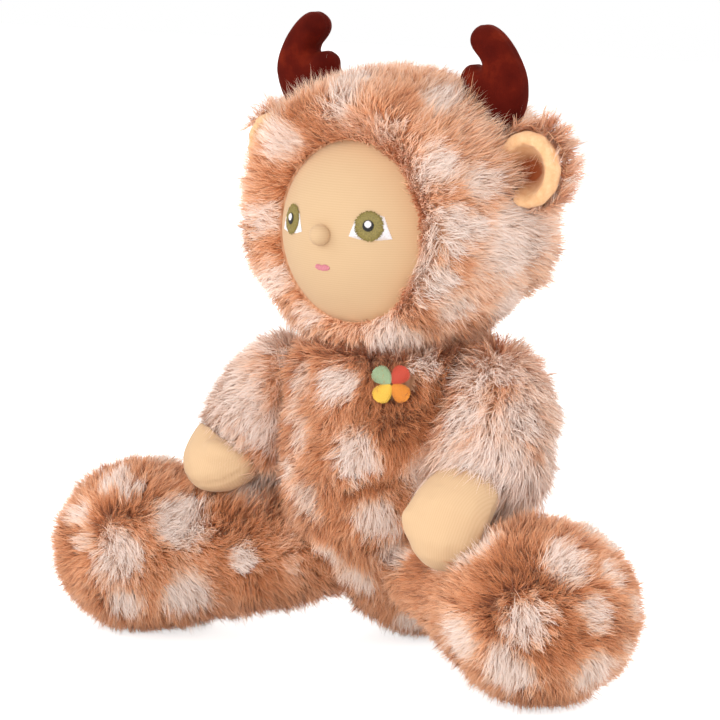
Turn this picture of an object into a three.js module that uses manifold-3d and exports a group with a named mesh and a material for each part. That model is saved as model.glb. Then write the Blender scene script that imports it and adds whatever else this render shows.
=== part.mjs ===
// A seated stuffed doll in a hooded fawn suit with antlers and ears, in millimetres.
// Z is up, the doll looks along -Y, and its left side is +X.
// The origin is the middle of the flat under its seat.
import * as THREE from 'three';
import { mergeVertices } from 'three/addons/utils/BufferGeometryUtils.js';
import Module from 'manifold-3d';

const wasm = await Module();
wasm.setup();

// Clearances, walls and cuts
const gap = 0.35;
const moving_gap = 0.75;
const swing_clearance = 1.6;
const cloth = 3;
const jersey = 1.6;
const seat_sink = 0.5;
const overrun = 60;

// Torso
const neck_height = 155;
const torso_half_width = 52;
const torso_half_depth = 60;
const torso_lean = 33;
const torso_bottom_round = 40;
const pouch_height = 26;
// Height, lean, half width and half depth at each row.
const torso_shares = [
  [0.0, 0.0, 0.6, 0.56],
  [0.23, 0.44, 0.84, 0.8],
  [0.49, 0.85, 1.0, 1.0],
  [0.73, 0.93, 1.0, 0.95],
  [0.93, 0.88, 1.0, 0.82],
  [1.14, 0.9, 0.72, 0.6],
];

// Head and hood
const head_radius = 53.5;
const head_height = 206.5;
const head_forward = 32;
const head_turn = -4;
const head_tilt = 0.5;
const hood_half_width = 74;
const hood_half_depth = 70;
const hood_half_height = 69;
const hood_back_shift = 4;
const hood_up_shift = 8;
const hood_opening_angle = 59;
const hood_opening_lift = 3;
const hood_lip = 7;

// Face
const eye_spread = 26;
const eye_lift = 8;
const eye_half_width = 10.8;
const eye_half_height = 7.6;
const iris_half_width = 7;
const pupil_half_width = 2.8;
const glint_half_width = 1.5;
const stitch_height = 0.7;
const nose_radius = 5;
const nose_lift = 2.5;
const nose_proud = 2.2;
const mouth_lift = -14.5;
const mouth_side = -2;
const lips_half_width = 3.7;
const lips_half_height = 1.9;

// Ears
const ear_out = 78;
const ear_back = 3;
const ear_up = 33;
const ear_half_width = 21;
const ear_half_height = 23;
const ear_depth = 17;
const ear_rim_width = 4;
const ear_lining_rim = 6;
const ear_turn = 12;

// Antlers
const antler_inner = 36.5;
const antler_width = 37;
const antler_bottom = 58;
const antler_height = 40.5;
const antler_thickness = 15;
const antler_back = 8;
const antler_round = 5;
const antler_edge = 2.6;
// Places across and up the antler, from its inner foot over the tips to its outer foot.
const antler_shares = [
  [0.28, -0.02],
  [0.13, 0.04],
  [0.03, 0.13],
  [0.0, 0.22],
  [0.03, 0.3],
  [0.08, 0.34],
  [0.07, 0.42],
  [0.12, 0.5],
  [0.23, 0.54],
  [0.33, 0.51],
  [0.42, 0.53],
  [0.38, 0.61],
  [0.29, 0.69],
  [0.22, 0.8],
  [0.25, 0.93],
  [0.38, 1.0],
  [0.56, 0.96],
  [0.76, 0.79],
  [0.93, 0.55],
  [1.0, 0.32],
  [0.95, 0.06],
  [0.74, -0.2],
  [0.47, -0.2],
];

// Shoulders and arms
const shoulder_height = 140;
const shoulder_forward = 30;
const shoulder_swing = 45;
const arm_half_width = { shoulder: 23, elbow: 30.5, cuff: 31 };
const sleeve_round = 22;
const hand_half_width = { wrist: 18, palm: 19, tips: 14.5 };
const hand_round = 14;
const hand_flatness_share = 0.82;
const thumb_radius = 7.5;
const left_arm = {
  side: 1,
  shoulder: { out: 50, forward: 26, height: 157 },
  elbow: { out: 61, forward: 37, height: 118 },
  cuff: { out: 60, forward: 58, height: 79 },
  wrist: { out: 68, forward: 60, height: 100 },
  palm: { out: 66, forward: 92, height: 85 },
  tips: { out: 63, forward: 98, height: 63 },
  thumb: { out: 57, forward: 98, height: 86 },
};
const right_arm = {
  side: -1,
  shoulder: { out: 46, forward: 30, height: 150 },
  elbow: { out: 62, forward: 38, height: 116 },
  cuff: { out: 82, forward: 58, height: 84 },
  wrist: { out: 76, forward: 50, height: 106 },
  palm: { out: 80, forward: 64, height: 94 },
  tips: { out: 79, forward: 86, height: 80 },
  thumb: { out: 74, forward: 79, height: 95 },
};

// Hips, legs and feet
const hip_out = 28;
const hip_forward = 43;
const hip_height = 48;
const hip_swing = 40;
const leg_half_width = { hip: 24, knee: 31.5, ankle: 41.5 };
const knee_sag = 3;
const foot_radius = 46;
const foot_squash_share = 0.93;
const left_foot = { side: 1, out: 112, forward: 75 };
const right_foot = { side: -1, out: 121, forward: 73 };

// Chest flower
const flower_out = 26;
const flower_height = 139;
const petal_length = 8;
const petal_half_width = 3.6;
const flower_thickness = 1.1;

// Facets round and along the forms
const facets = {
  torso: [18, 5],
  head: [20, 12],
  hood: [22, 12],
  ear: [12, 6],
  arm: [12, 3],
  leg: [12, 3],
  foot: [16, 10],
  inside: [10, 2],
  inside_ball: [12, 6],
  room: [12, 1],
  nose: [12, 6],
  iris: 12,
  pupil: 10,
  glint: 6,
  dome: 3,
};
const swing_steps = { arm: 4, leg: 2 };

const colours = {
  fur: 0xd5a082,
  jersey: 0xefc79e,
  hand: 0xf7d2a8,
  velvet: 0x4f120f,
  lining: 0xf9c48d,
  wadding: 0xf4f1ea,
  pouch: 0xd9d4c8,
  eye_white: 0xf3f0f2,
  iris: 0x82733a,
  pupil: 0x16110f,
  lips: 0xdd8f92,
  flower: 0xe0574a,
};

const along_x = new THREE.Vector3(1, 0, 0);
const along_y = new THREE.Vector3(0, 1, 0);
const along_z = new THREE.Vector3(0, 0, 1);
const head_centre = new THREE.Vector3(0, -head_forward, head_height);
const degree = Math.PI / 180;
const reach = left_foot.out + foot_radius * 2 + overrun;

// A closed triangle mesh becomes a solid that can be joined and cut.
function solidOf(geometry) {
  const bare = new THREE.BufferGeometry();
  bare.setAttribute('position', geometry.getAttribute('position'));
  if (geometry.index) bare.setIndex(geometry.index);
  const merged = mergeVertices(bare);
  const vertProperties = Float32Array.from(merged.getAttribute('position').array);
  const triVerts = Uint32Array.from(merged.index.array);
  return new wasm.Manifold(new wasm.Mesh({ numProp: 3, vertProperties, triVerts }));
}

function geometryOf(solid) {
  const mesh = solid.getMesh();
  const geometry = new THREE.BufferGeometry();
  geometry.setAttribute('position', new THREE.BufferAttribute(mesh.vertProperties, mesh.numProp));
  geometry.setIndex(new THREE.BufferAttribute(mesh.triVerts, 1));
  return geometry;
}

// Faces are turned over when the mesh that they close comes out inside out.
function outward(positions, triangles) {
  let volume = 0;
  const corner = (index) => new THREE.Vector3().fromArray(positions, index * 3);
  for (const [a, b, c] of triangles) {
    volume += corner(a).dot(corner(b).cross(corner(c)));
  }
  const geometry = new THREE.BufferGeometry();
  geometry.setAttribute('position', new THREE.Float32BufferAttribute(positions, 3));
  geometry.setIndex(triangles.flatMap(([a, b, c]) => (volume > 0 ? [a, b, c] : [a, c, b])));
  return geometry;
}

// Rings of a stuffed form: each has a middle, two half widths and the directions that they lie along.
function ringsOf({ line, across, deep, round, rings, level = false, inset = 0, wide_way = along_x }) {
  const path = new THREE.CatmullRomCurve3(line);
  const widths = new THREE.CatmullRomCurve3(across.map((a, i) => new THREE.Vector3(a, deep[i], 0)));
  const length = path.getLength();
  const list = [];
  const addRing = (distance, share) => {
    const inside = THREE.MathUtils.clamp(distance, 0, length);
    const t = path.getUtoTmapping(inside / length);
    const along = path.getTangent(t);
    const middle = path.getPoint(t).addScaledVector(along, distance - inside);
    const wide = widths.getPoint(t);
    const first = level ? along_x : wide_way.clone().projectOnPlane(along).normalize();
    const second = level ? along_y : along.clone().cross(first);
    list.push({ middle, first, second, a: (wide.x - inset) * share, b: (wide.y - inset) * share });
  };
  const [start, end] = round;
  const quarter = Math.PI / 2;
  for (let k = 0; k < facets.dome; k++) {
    const angle = (k / facets.dome) * quarter;
    addRing(inset + (start - inset) * (1 - Math.cos(angle)), Math.sin(angle));
  }
  for (let k = 0; k <= rings; k++) {
    addRing(start + ((length - start - end) * k) / rings, 1);
  }
  for (let k = facets.dome - 1; k >= 0; k--) {
    const angle = (k / facets.dome) * quarter;
    addRing(length - inset - (end - inset) * (1 - Math.cos(angle)), Math.sin(angle));
  }
  return list;
}

// The skin over such rings, with a point at each end.
function stuffed(form) {
  const { sides } = form;
  const positions = [];
  const triangles = [];
  const starts = [];
  for (const { middle, first, second, a, b } of ringsOf(form)) {
    const count = a > 0 ? sides : 1;
    starts.push({ at: positions.length / 3, count });
    for (let k = 0; k < count; k++) {
      const turn = (k / sides) * Math.PI * 2;
      const point = middle.clone().addScaledVector(first, a * Math.cos(turn));
      point.addScaledVector(second, b * Math.sin(turn));
      positions.push(point.x, point.y, point.z);
    }
  }
  for (let r = 0; r + 1 < starts.length; r++) {
    const [low, high] = [starts[r], starts[r + 1]];
    for (let k = 0; k < sides; k++) {
      const next = (k + 1) % sides;
      const above = high.at + (high.count > 1 ? k : 0);
      const below = low.at + (low.count > 1 ? next : 0);
      if (low.count > 1) triangles.push([low.at + k, low.at + next, above]);
      if (high.count > 1) triangles.push([below, high.at + next, high.at + k]);
    }
  }
  return solidOf(outward(positions, triangles));
}

function ball(centre, halves, [round, tall]) {
  const geometry = new THREE.SphereGeometry(1, round, tall);
  geometry.rotateX(Math.PI / 2);
  geometry.scale(halves.x, halves.y, halves.z);
  geometry.translate(centre.x, centre.y, centre.z);
  return geometry;
}

function block(low, high) {
  const geometry = new THREE.BoxGeometry(high.x - low.x, high.y - low.y, high.z - low.z);
  geometry.translate((high.x + low.x) / 2, (high.y + low.y) / 2, (high.z + low.z) / 2);
  return solidOf(geometry);
}

// Everything between two heights, wide enough for the whole doll.
function between(low, high) {
  return block(new THREE.Vector3(-reach, -reach, low), new THREE.Vector3(reach, reach, high));
}

function triplesOf(index) {
  const list = [];
  for (let k = 0; k < index.length; k += 3) {
    list.push([index[k], index[k + 1], index[k + 2]]);
  }
  return list;
}

function point(side, { out, forward, height }) {
  return new THREE.Vector3(side * out, -forward, height);
}

const root = new THREE.Group();

function bodyAt(x, y, z) {
  const group = new THREE.Group();
  group.position.set(x, y, z);
  root.add(group);
  return group;
}

function addPiece(group, name, solid, colour, roughness = 0.9) {
  const geometry = geometryOf(solid);
  geometry.translate(-group.position.x, -group.position.y, -group.position.z);
  const material = new THREE.MeshStandardMaterial({ color: colour, roughness, metalness: 0 });
  const mesh = new THREE.Mesh(geometry, material);
  mesh.name = name;
  group.add(mesh);
}

// Torso: a pear shaped fur cover, open at the neck, with leg openings at the hips.
const torso_form = {
  line: torso_shares.map(([h, lean]) =>
    new THREE.Vector3(0, -torso_lean * lean, neck_height * h - (h ? 0 : seat_sink))),
  across: torso_shares.map(([, , w]) => torso_half_width * w),
  deep: torso_shares.map(([, , , d]) => torso_half_depth * d),
  round: [torso_bottom_round, cloth * 2],
  sides: facets.torso[0],
  rings: facets.torso[1],
  level: true,
};
const inner_torso = { ...torso_form, sides: facets.inside[0], rings: facets.inside[1] };
const shoulder = new THREE.Vector3(0, -shoulder_forward, shoulder_height);

// A leg as far as the foot's middle: its inner end is half a ball round the hip.
function legForm(foot) {
  const hip = new THREE.Vector3(foot.side * hip_out, -hip_forward, hip_height);
  const ankle = footCentre(foot);
  const away = ankle.clone().sub(hip).setZ(0).setLength(leg_half_width.hip);
  const knee = hip.clone().lerp(ankle, 0.5);
  knee.z -= knee_sag;
  const { hip: narrow, knee: middle, ankle: wide } = leg_half_width;
  return {
    line: [hip.clone().sub(away), hip, knee, ankle, ankle.clone().add(away)],
    across: [narrow, narrow, middle, wide, wide],
    deep: [narrow, narrow, middle, wide, wide],
    round: [narrow, narrow],
    sides: facets.leg[0],
    rings: facets.leg[1],
    wide_way: along_z,
  };
}

function footCentre({ side, out, forward }) {
  return new THREE.Vector3(side * out, -forward, foot_radius * foot_squash_share - seat_sink);
}

// The room that a leg needs in the torso as it swings down about the hip.
function sweptLeg(foot) {
  const form = legForm(foot);
  const rough = stuffed({ ...form, sides: facets.room[0], rings: facets.room[1], inset: -swing_clearance });
  let swept = stuffed({ ...form, inset: -moving_gap });
  for (let turn = hip_swing; turn > 0; turn -= hip_swing / swing_steps.leg) {
    const geometry = geometryOf(rough);
    geometry.translate(-foot.side * hip_out, hip_forward, -hip_height);
    geometry.rotateY(foot.side * turn * degree);
    geometry.translate(foot.side * hip_out, -hip_forward, hip_height);
    swept = swept.add(solidOf(geometry));
  }
  return swept;
}

function addTorso() {
  const group = bodyAt(0, 0, 0);
  const top = neck_height - moving_gap / 2;
  const legs_room = sweptLeg(left_foot).add(sweptLeg(right_foot));
  const outside = stuffed(torso_form).intersect(between(0, top));
  const cavity = stuffed({ ...inner_torso, inset: cloth });
  addPiece(group, 'torso_cover', outside.subtract(cavity).subtract(legs_room), colours.fur);
  const stuffing = stuffed({ ...inner_torso, inset: cloth + gap });
  const pouch = stuffing.intersect(between(-overrun, pouch_height - gap));
  addPiece(group, 'pellet_pouch', pouch.subtract(legs_room), colours.pouch);
  const wadding = stuffing.intersect(between(pouch_height, top));
  addPiece(group, 'torso_filling', wadding.subtract(legs_room), colours.wadding);
  addPiece(group, 'chest_flower', chestFlower(), colours.flower, 0.6);
}

// A small embroidered flower with four petals, lying on the left of the chest.
function chestFlower() {
  const shape = new THREE.Shape();
  const petals = 4;
  for (let k = 0; k < petals; k++) {
    const turn = ((k + 0.5) / petals) * Math.PI * 2;
    const along = new THREE.Vector2(Math.cos(turn), Math.sin(turn));
    const aside = new THREE.Vector2(-along.y, along.x).multiplyScalar(petal_half_width);
    const foot = along.clone().multiplyScalar(petal_half_width);
    const tip = along.clone().multiplyScalar(petal_length + petal_half_width);
    const right = foot.clone().sub(aside);
    const left = foot.clone().add(aside);
    if (k === 0) shape.moveTo(right.x, right.y);
    else shape.lineTo(right.x, right.y);
    const nearTip = tip.clone().sub(aside);
    const farTip = tip.clone().add(aside);
    shape.bezierCurveTo(nearTip.x, nearTip.y, farTip.x, farTip.y, left.x, left.y);
  }
  const rise = petal_length * 2;
  const geometry = new THREE.ExtrudeGeometry(shape, { depth: rise, bevelEnabled: false, curveSegments: 6 });
  const rings = ringsOf(torso_form);
  const ring = rings.reduce((best, r) =>
    Math.abs(r.middle.z - flower_height) < Math.abs(best.middle.z - flower_height) ? r : best);
  const along = Math.asin(flower_out / ring.a);
  const outwardTurn = Math.atan2(Math.sin(along) / ring.a, Math.cos(along) / ring.b);
  const front = ring.middle.y - ring.b * Math.cos(along);
  geometry.translate(0, 0, -rise / 2);
  geometry.rotateX(Math.PI / 2);
  geometry.rotateZ(outwardTurn);
  geometry.translate(flower_out, front, flower_height);
  const patch = solidOf(geometry);
  const thick = stuffed({ ...torso_form, inset: -(gap + flower_thickness) });
  const base = stuffed({ ...torso_form, inset: -gap });
  return patch.intersect(thick).subtract(base).intersect(frontHalf());
}

function frontHalf() {
  return block(new THREE.Vector3(-reach, -reach, 0), new THREE.Vector3(reach, -torso_lean, reach));
}

// What stands on the head is placed from its middle, then turned and tilted with it.
function inHead(geometry) {
  geometry.rotateY(-head_tilt * degree);
  geometry.rotateZ(head_turn * degree);
  geometry.translate(head_centre.x, head_centre.y, head_centre.z);
  return solidOf(geometry);
}

const head_middle = new THREE.Vector3(0, 0, 0);

function evenly(radius) {
  return new THREE.Vector3(radius, radius, radius);
}

function hoodForm(clearance) {
  const middle = new THREE.Vector3(0, hood_back_shift, hood_up_shift);
  const halves = new THREE.Vector3(
    hood_half_width + clearance, hood_half_depth + clearance, hood_half_height + clearance);
  return inHead(ball(middle, halves, facets.hood));
}

// The face opening widens from the middle of the head, and its edge is rolled back.
function faceOpening() {
  const past = hood_half_depth * 2;
  const wide = Math.tan(hood_opening_angle * degree) * past;
  const lip_at = head_radius * Math.cos(hood_opening_angle * degree) + hood_lip;
  const lip_wide = head_radius * Math.sin(hood_opening_angle * degree);
  const lip_foot = [lip_wide - hood_lip, lip_at - hood_lip * 2];
  const profile = [[0, 0], lip_foot, [lip_wide, lip_at], [wide, past], [0, past]];
  const points = profile.map(([r, h]) => new THREE.Vector2(r, h));
  const geometry = new THREE.LatheGeometry(points, facets.hood[0]);
  const cone = outward([...geometry.getAttribute('position').array], triplesOf(geometry.index.array));
  cone.rotateX(hood_opening_lift * degree);
  cone.rotateZ(Math.PI);
  return inHead(cone);
}

// A flat stitched patch that follows the face, at a height above the skin.
function facePatch({ azimuth, lift, outline, height, thick }) {
  const spread_shares = [0, 0.5, 1];
  const positions = [];
  const triangles = [];
  const turn = new THREE.Matrix4().makeRotationZ(azimuth * degree);
  turn.multiply(new THREE.Matrix4().makeRotationX(-lift * degree));
  const low = head_radius + height;
  const middle = [0, 1].map((k) => outline.reduce((sum, pair) => sum + pair[k], 0) / outline.length);
  for (const radius of [low, low + thick]) {
    for (const share of spread_shares) {
      for (const [u, v] of share ? outline : [middle]) {
        const along = [middle[0] + (u - middle[0]) * share, middle[1] + (v - middle[1]) * share];
        const place = new THREE.Vector3(along[0], -low, along[1]).setLength(radius);
        place.applyMatrix4(turn);
        positions.push(place.x, place.y, place.z);
      }
    }
  }
  const count = outline.length;
  const layer = positions.length / 6;
  const ringAt = (ring, k) => (ring ? 1 + (ring - 1) * count + (k % count) : 0);
  const last = spread_shares.length - 1;
  for (let k = 0; k < count; k++) {
    for (let ring = 0; ring < last; ring++) {
      const [a, b] = [ringAt(ring, k), ringAt(ring, k + 1)];
      const [c, d] = [ringAt(ring + 1, k), ringAt(ring + 1, k + 1)];
      triangles.push([a, d, c], [a + layer, c + layer, d + layer]);
      if (ring) triangles.push([a, b, d], [a + layer, d + layer, b + layer]);
    }
    const [c, d] = [ringAt(last, k), ringAt(last, k + 1)];
    triangles.push([c, d, d + layer], [c, d + layer, c + layer]);
  }
  return inHead(outward(positions, triangles));
}

function oval(halfWidth, halfHeight, steps) {
  const list = [];
  for (let k = 0; k < steps; k++) {
    const turn = (k / steps) * Math.PI * 2;
    list.push([halfWidth * Math.cos(turn), halfHeight * Math.sin(turn)]);
  }
  return list;
}

// The white of an eye: flat below, high and pointed towards its outer corner.
function almond(side) {
  const shares = [[-1, 0.35], [-0.8, -0.55], [-0.3, -0.95], [0.35, -1], [0.85, -0.55], [1, 0.05],
    [0.75, 0.6], [0.3, 0.95], [-0.2, 1], [-0.65, 0.8]];
  return shares.map(([u, v]) => [-side * u * eye_half_width, v * eye_half_height]);
}

function addEye(group, side, name) {
  const azimuth = side * eye_spread;
  const layer = stitch_height + gap;
  const at = (outline, level) =>
    facePatch({ azimuth, lift: eye_lift, outline, height: gap + layer * level, thick: stitch_height });
  const pupil = oval(pupil_half_width, pupil_half_width, facets.pupil);
  const iris = oval(iris_half_width, iris_half_width, facets.iris);
  const glint = oval(glint_half_width, glint_half_width, facets.glint);
  const shifted = glint.map(([u, v]) => [u, v + pupil_half_width / 3]);
  addPiece(group, `eye_white_${name}`, at(almond(side), 0), colours.eye_white, 0.5);
  addPiece(group, `iris_${name}`, at(iris, 1), colours.iris, 0.5);
  addPiece(group, `pupil_${name}`, at(pupil, 2), colours.pupil, 0.4);
  addPiece(group, `eye_glint_${name}`, at(shifted, 3), colours.eye_white, 0.4);
}

function addEar(group, side, name) {
  const facing = (geometry) => {
    geometry.rotateZ(side * ear_turn * degree);
    geometry.translate(side * ear_out, ear_back, ear_up);
    return inHead(geometry);
  };
  const cup = (halfWidth, depth, halfHeight, shift) =>
    facing(ball(new THREE.Vector3(0, shift, 0), new THREE.Vector3(halfWidth, depth, halfHeight), facets.ear));
  const behind = (front) => {
    const wide = ear_half_width + overrun;
    const geometry = new THREE.BoxGeometry(wide * 2, wide, wide * 2);
    geometry.translate(0, front + wide / 2, 0);
    return facing(geometry);
  };
  const wall = ear_rim_width;
  const lining_width = ear_half_width - wall - gap;
  const lining_height = ear_half_height - wall - gap;
  const lining_depth = ear_depth - wall - gap;
  const hood = hoodForm(gap).add(antlerForm(side, gap));
  const back = cup(ear_half_width, ear_depth, ear_half_height, 0)
    .subtract(cup(ear_half_width - wall, ear_depth - wall, ear_half_height - wall, 0))
    .intersect(behind(-wall / 2)).subtract(hood);
  addPiece(group, `ear_back_${name}`, back, colours.fur);
  const hollow = cup(lining_width - ear_lining_rim, lining_depth - ear_lining_rim / 2,
    lining_height - ear_lining_rim, -wall);
  const lining = cup(lining_width, lining_depth, lining_height, 0).subtract(hollow)
    .intersect(behind(-wall)).subtract(hood);
  addPiece(group, `ear_lining_${name}`, lining, colours.lining);
}

// A flat padded antler, fuller all round by a clearance where a neighbour is cut by it.
function antlerForm(side, clearance) {
  const shape = new THREE.Shape();
  const places = antler_shares.map(([u, v]) => new THREE.Vector2(
    side * (antler_inner + antler_width * u), antler_bottom + antler_height * v));
  shape.moveTo(places[0].x, places[0].y);
  shape.splineThru(places.slice(1));
  const thickness = antler_thickness + clearance * 2;
  const geometry = new THREE.ExtrudeGeometry(shape, {
    depth: thickness - antler_round * 2,
    bevelThickness: antler_round,
    bevelSize: antler_edge,
    bevelOffset: clearance - antler_edge,
    bevelSegments: 2,
    curveSegments: 2,
  });
  geometry.rotateX(Math.PI / 2);
  geometry.translate(0, antler_back + thickness / 2 - antler_round, 0);
  return inHead(geometry);
}

function addAntler(group, side, name) {
  addPiece(group, `antler_${name}`, antlerForm(side, 0).subtract(hoodForm(gap)), colours.velvet, 0.7);
}

function addHead() {
  const group = bodyAt(0, -head_forward, neck_height);
  const above = between(neck_height + moving_gap / 2, neck_height * 2 + hood_half_height * 2);
  const skin = inHead(ball(head_middle, evenly(head_radius), facets.head));
  const cavity = inHead(ball(head_middle, evenly(head_radius - jersey), facets.inside_ball));
  addPiece(group, 'head_skin', skin.subtract(cavity).intersect(above), colours.jersey);
  const wadding = inHead(ball(head_middle, evenly(head_radius - jersey - gap), facets.inside_ball));
  addPiece(group, 'head_filling', wadding.intersect(above), colours.wadding);
  const room = inHead(ball(head_middle, evenly(head_radius + gap * 2), facets.head));
  const hood = hoodForm(0).subtract(room).subtract(faceOpening()).intersect(above);
  addPiece(group, 'hood', hood, colours.fur);
  const nose_at = head_radius + nose_proud;
  const nose = ball(head_middle, evenly(nose_radius), facets.nose);
  nose.translate(0, -nose_at, 0);
  nose.rotateX(-nose_lift * degree);
  const clear = inHead(ball(head_middle, evenly(head_radius + gap), facets.head));
  addPiece(group, 'nose', inHead(nose).subtract(clear), colours.jersey);
  const lips = facePatch({
    azimuth: mouth_side,
    lift: mouth_lift,
    outline: oval(lips_half_width, lips_half_height, facets.iris),
    height: gap,
    thick: stitch_height * 2,
  });
  addPiece(group, 'lips', lips, colours.lips, 0.6);
  for (const [side, name] of [[1, 'left'], [-1, 'right']]) {
    addEye(group, side, name);
    addEar(group, side, name);
    addAntler(group, side, name);
  }
}

// The arm is kept clear of the torso as it stands and as the raised arm would meet it.
function sweptTorso() {
  const rough = stuffed({ ...torso_form, inset: -swing_clearance });
  let swept = stuffed({ ...torso_form, inset: -moving_gap });
  for (let turn = shoulder_swing; turn > 0; turn -= shoulder_swing / swing_steps.arm) {
    const geometry = geometryOf(rough);
    geometry.translate(0, -shoulder.y, -shoulder.z);
    geometry.rotateX(turn * degree);
    geometry.translate(0, shoulder.y, shoulder.z);
    swept = swept.add(solidOf(geometry));
  }
  return swept;
}

const torso_room = sweptTorso();

function addArm(arm, name) {
  const { side } = arm;
  const group = bodyAt(0, -shoulder_forward, shoulder_height);
  const sleeve = {
    line: [arm.shoulder, arm.elbow, arm.cuff].map((place) => point(side, place)),
    across: [arm_half_width.shoulder, arm_half_width.elbow, arm_half_width.cuff],
    deep: [arm_half_width.shoulder, arm_half_width.elbow, arm_half_width.cuff],
    round: [sleeve_round, sleeve_round],
    sides: facets.arm[0],
    rings: facets.arm[1],
  };
  const hand = {
    line: [arm.wrist, arm.palm, arm.tips].map((place) => point(side, place)),
    across: [hand_half_width.wrist, hand_half_width.palm, hand_half_width.tips],
    deep: [hand_half_width.wrist, hand_half_width.palm, hand_half_width.tips]
      .map((width) => width * hand_flatness_share),
    round: [hand_round, hand_round],
    sides: facets.arm[0],
    rings: facets.arm[1],
  };
  const coarse = { sides: facets.inside[0], rings: facets.inside[1] };
  const inner_sleeve = stuffed({ ...sleeve, ...coarse, inset: cloth });
  const inner_hand = stuffed({ ...hand, ...coarse, inset: jersey });
  const cover = stuffed(sleeve).subtract(inner_sleeve).subtract(inner_hand).subtract(torso_room);
  addPiece(group, `sleeve_${name}`, cover, colours.fur);
  const thumb = solidOf(ball(point(side, arm.thumb), evenly(thumb_radius), facets.inside_ball));
  const mitt = stuffed(hand).add(thumb).subtract(inner_hand)
    .subtract(stuffed({ ...sleeve, inset: -gap })).subtract(torso_room);
  addPiece(group, `hand_${name}`, mitt, colours.hand);
  const filling = stuffed({ ...sleeve, ...coarse, inset: cloth + gap })
    .add(stuffed({ ...hand, ...coarse, inset: jersey + gap })).subtract(torso_room);
  addPiece(group, `arm_filling_${name}`, filling, colours.wadding);
}

function addLeg(foot, name) {
  const group = bodyAt(foot.side * hip_out, -hip_forward, hip_height);
  const form = legForm(foot);
  const centre = footCentre(foot);
  const foot_halves = new THREE.Vector3(foot_radius, foot_radius, foot_radius * foot_squash_share);
  const footForm = (inset, count) => solidOf(ball(centre, foot_halves.clone().subScalar(inset), count));
  const coarse = { sides: facets.inside[0], rings: facets.inside[1] };
  const inner_leg = stuffed({ ...form, ...coarse, inset: cloth });
  const inner_foot = footForm(cloth, facets.inside_ball);
  const above_floor = between(0, neck_height);
  const cover = stuffed(form).subtract(inner_leg).subtract(footForm(-gap, facets.foot));
  addPiece(group, `leg_cover_${name}`, cover, colours.fur);
  const shell = footForm(0, facets.foot).subtract(inner_foot).subtract(inner_leg).intersect(above_floor);
  addPiece(group, `foot_cover_${name}`, shell, colours.fur);
  const filling = stuffed({ ...form, ...coarse, inset: cloth + gap })
    .add(footForm(cloth + gap, facets.inside_ball));
  addPiece(group, `leg_filling_${name}`, filling, colours.wadding);
}

addTorso();
addHead();
addArm(left_arm, 'left');
addArm(right_arm, 'right');
addLeg(left_foot, 'left');
addLeg(right_foot, 'right');

export default root;
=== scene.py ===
# The seated stuffed doll in its spotted fawn suit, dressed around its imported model. All lengths are in metres.
import math

import bpy
import numpy as np
from mathutils import Matrix, Vector, noise
from mathutils.bvhtree import BVHTree


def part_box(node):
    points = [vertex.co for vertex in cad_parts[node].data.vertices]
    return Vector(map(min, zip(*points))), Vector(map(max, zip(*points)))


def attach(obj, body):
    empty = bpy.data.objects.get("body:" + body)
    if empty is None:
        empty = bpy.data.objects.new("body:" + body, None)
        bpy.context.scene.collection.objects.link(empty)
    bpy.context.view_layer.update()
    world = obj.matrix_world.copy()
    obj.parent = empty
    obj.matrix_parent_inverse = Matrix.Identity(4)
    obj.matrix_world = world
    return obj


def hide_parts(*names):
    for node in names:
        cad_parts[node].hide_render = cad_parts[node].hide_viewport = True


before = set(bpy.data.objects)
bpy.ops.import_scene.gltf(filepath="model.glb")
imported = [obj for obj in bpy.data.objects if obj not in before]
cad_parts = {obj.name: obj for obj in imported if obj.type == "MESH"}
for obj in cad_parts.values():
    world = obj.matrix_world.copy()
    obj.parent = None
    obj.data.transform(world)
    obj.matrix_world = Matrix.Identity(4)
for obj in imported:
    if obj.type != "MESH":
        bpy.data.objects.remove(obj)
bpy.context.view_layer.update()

mm = 0.001


# The camera stands at the photograph's angle, a little to the doll's left and above.
# It is far off, as a product photograph is taken with a long lens.
camera_azimuth = math.radians(35)
camera_height = math.radians(10)
camera_distance = 1.65
camera_aim = Vector((-0.0444, 0.0032, 0.1325))
camera_back = Vector((
    math.sin(camera_azimuth) * math.cos(camera_height),
    -math.cos(camera_azimuth) * math.cos(camera_height),
    math.sin(camera_height),
))
bpy.ops.object.camera_add(
    location=camera_aim + camera_back * camera_distance,
    rotation=(math.pi / 2 - camera_height, 0, camera_azimuth),
)
camera = bpy.context.object
camera.data.sensor_width = 36
camera.data.lens = 165
bpy.context.scene.camera = camera
pixel_slope = camera.data.sensor_width / camera.data.lens / 720
frame_middle = 360


def sight(x, y):
    """The way from the camera through this pixel of the 720 by 720 photograph."""
    across = Vector((math.cos(camera_azimuth), math.sin(camera_azimuth), 0))
    up = camera_back.cross(across)
    way = across * (x - frame_middle) * pixel_slope - up * (y - frame_middle) * pixel_slope
    return (way - camera_back).normalized()


# The studio: a pale seamless floor and a soft box on each side.
# The floor and the world turn white for the camera, as in the photograph, and keep the shadow.
def linear(colour):
    """An sRGB hex colour as linear red, green, blue and alpha."""
    parts = [int(colour[k:k + 2], 16) / 255 for k in (1, 3, 5)]
    return [p / 12.92 if p <= 0.04045 else ((p + 0.055) / 1.055) ** 2.4 for p in parts] + [1]


def add(tree, kind, values=None, links=None, stops=None, **settings):
    """Adds a node with its settings, values, links and, on a ramp, its stops."""
    made = tree.nodes.new(kind)
    for key, value in settings.items():
        setattr(made, key, value)
    for socket, value in (values or {}).items():
        made.inputs[socket].default_value = value
    for socket, source in (links or {}).items():
        tree.links.new(source, made.inputs[socket])
    for k, (place, colour) in enumerate(stops or []):
        ramp = made.color_ramp.elements
        stop = ramp[k] if k < 2 else ramp.new(place)
        stop.position = place
        stop.color = colour
    return made


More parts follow.
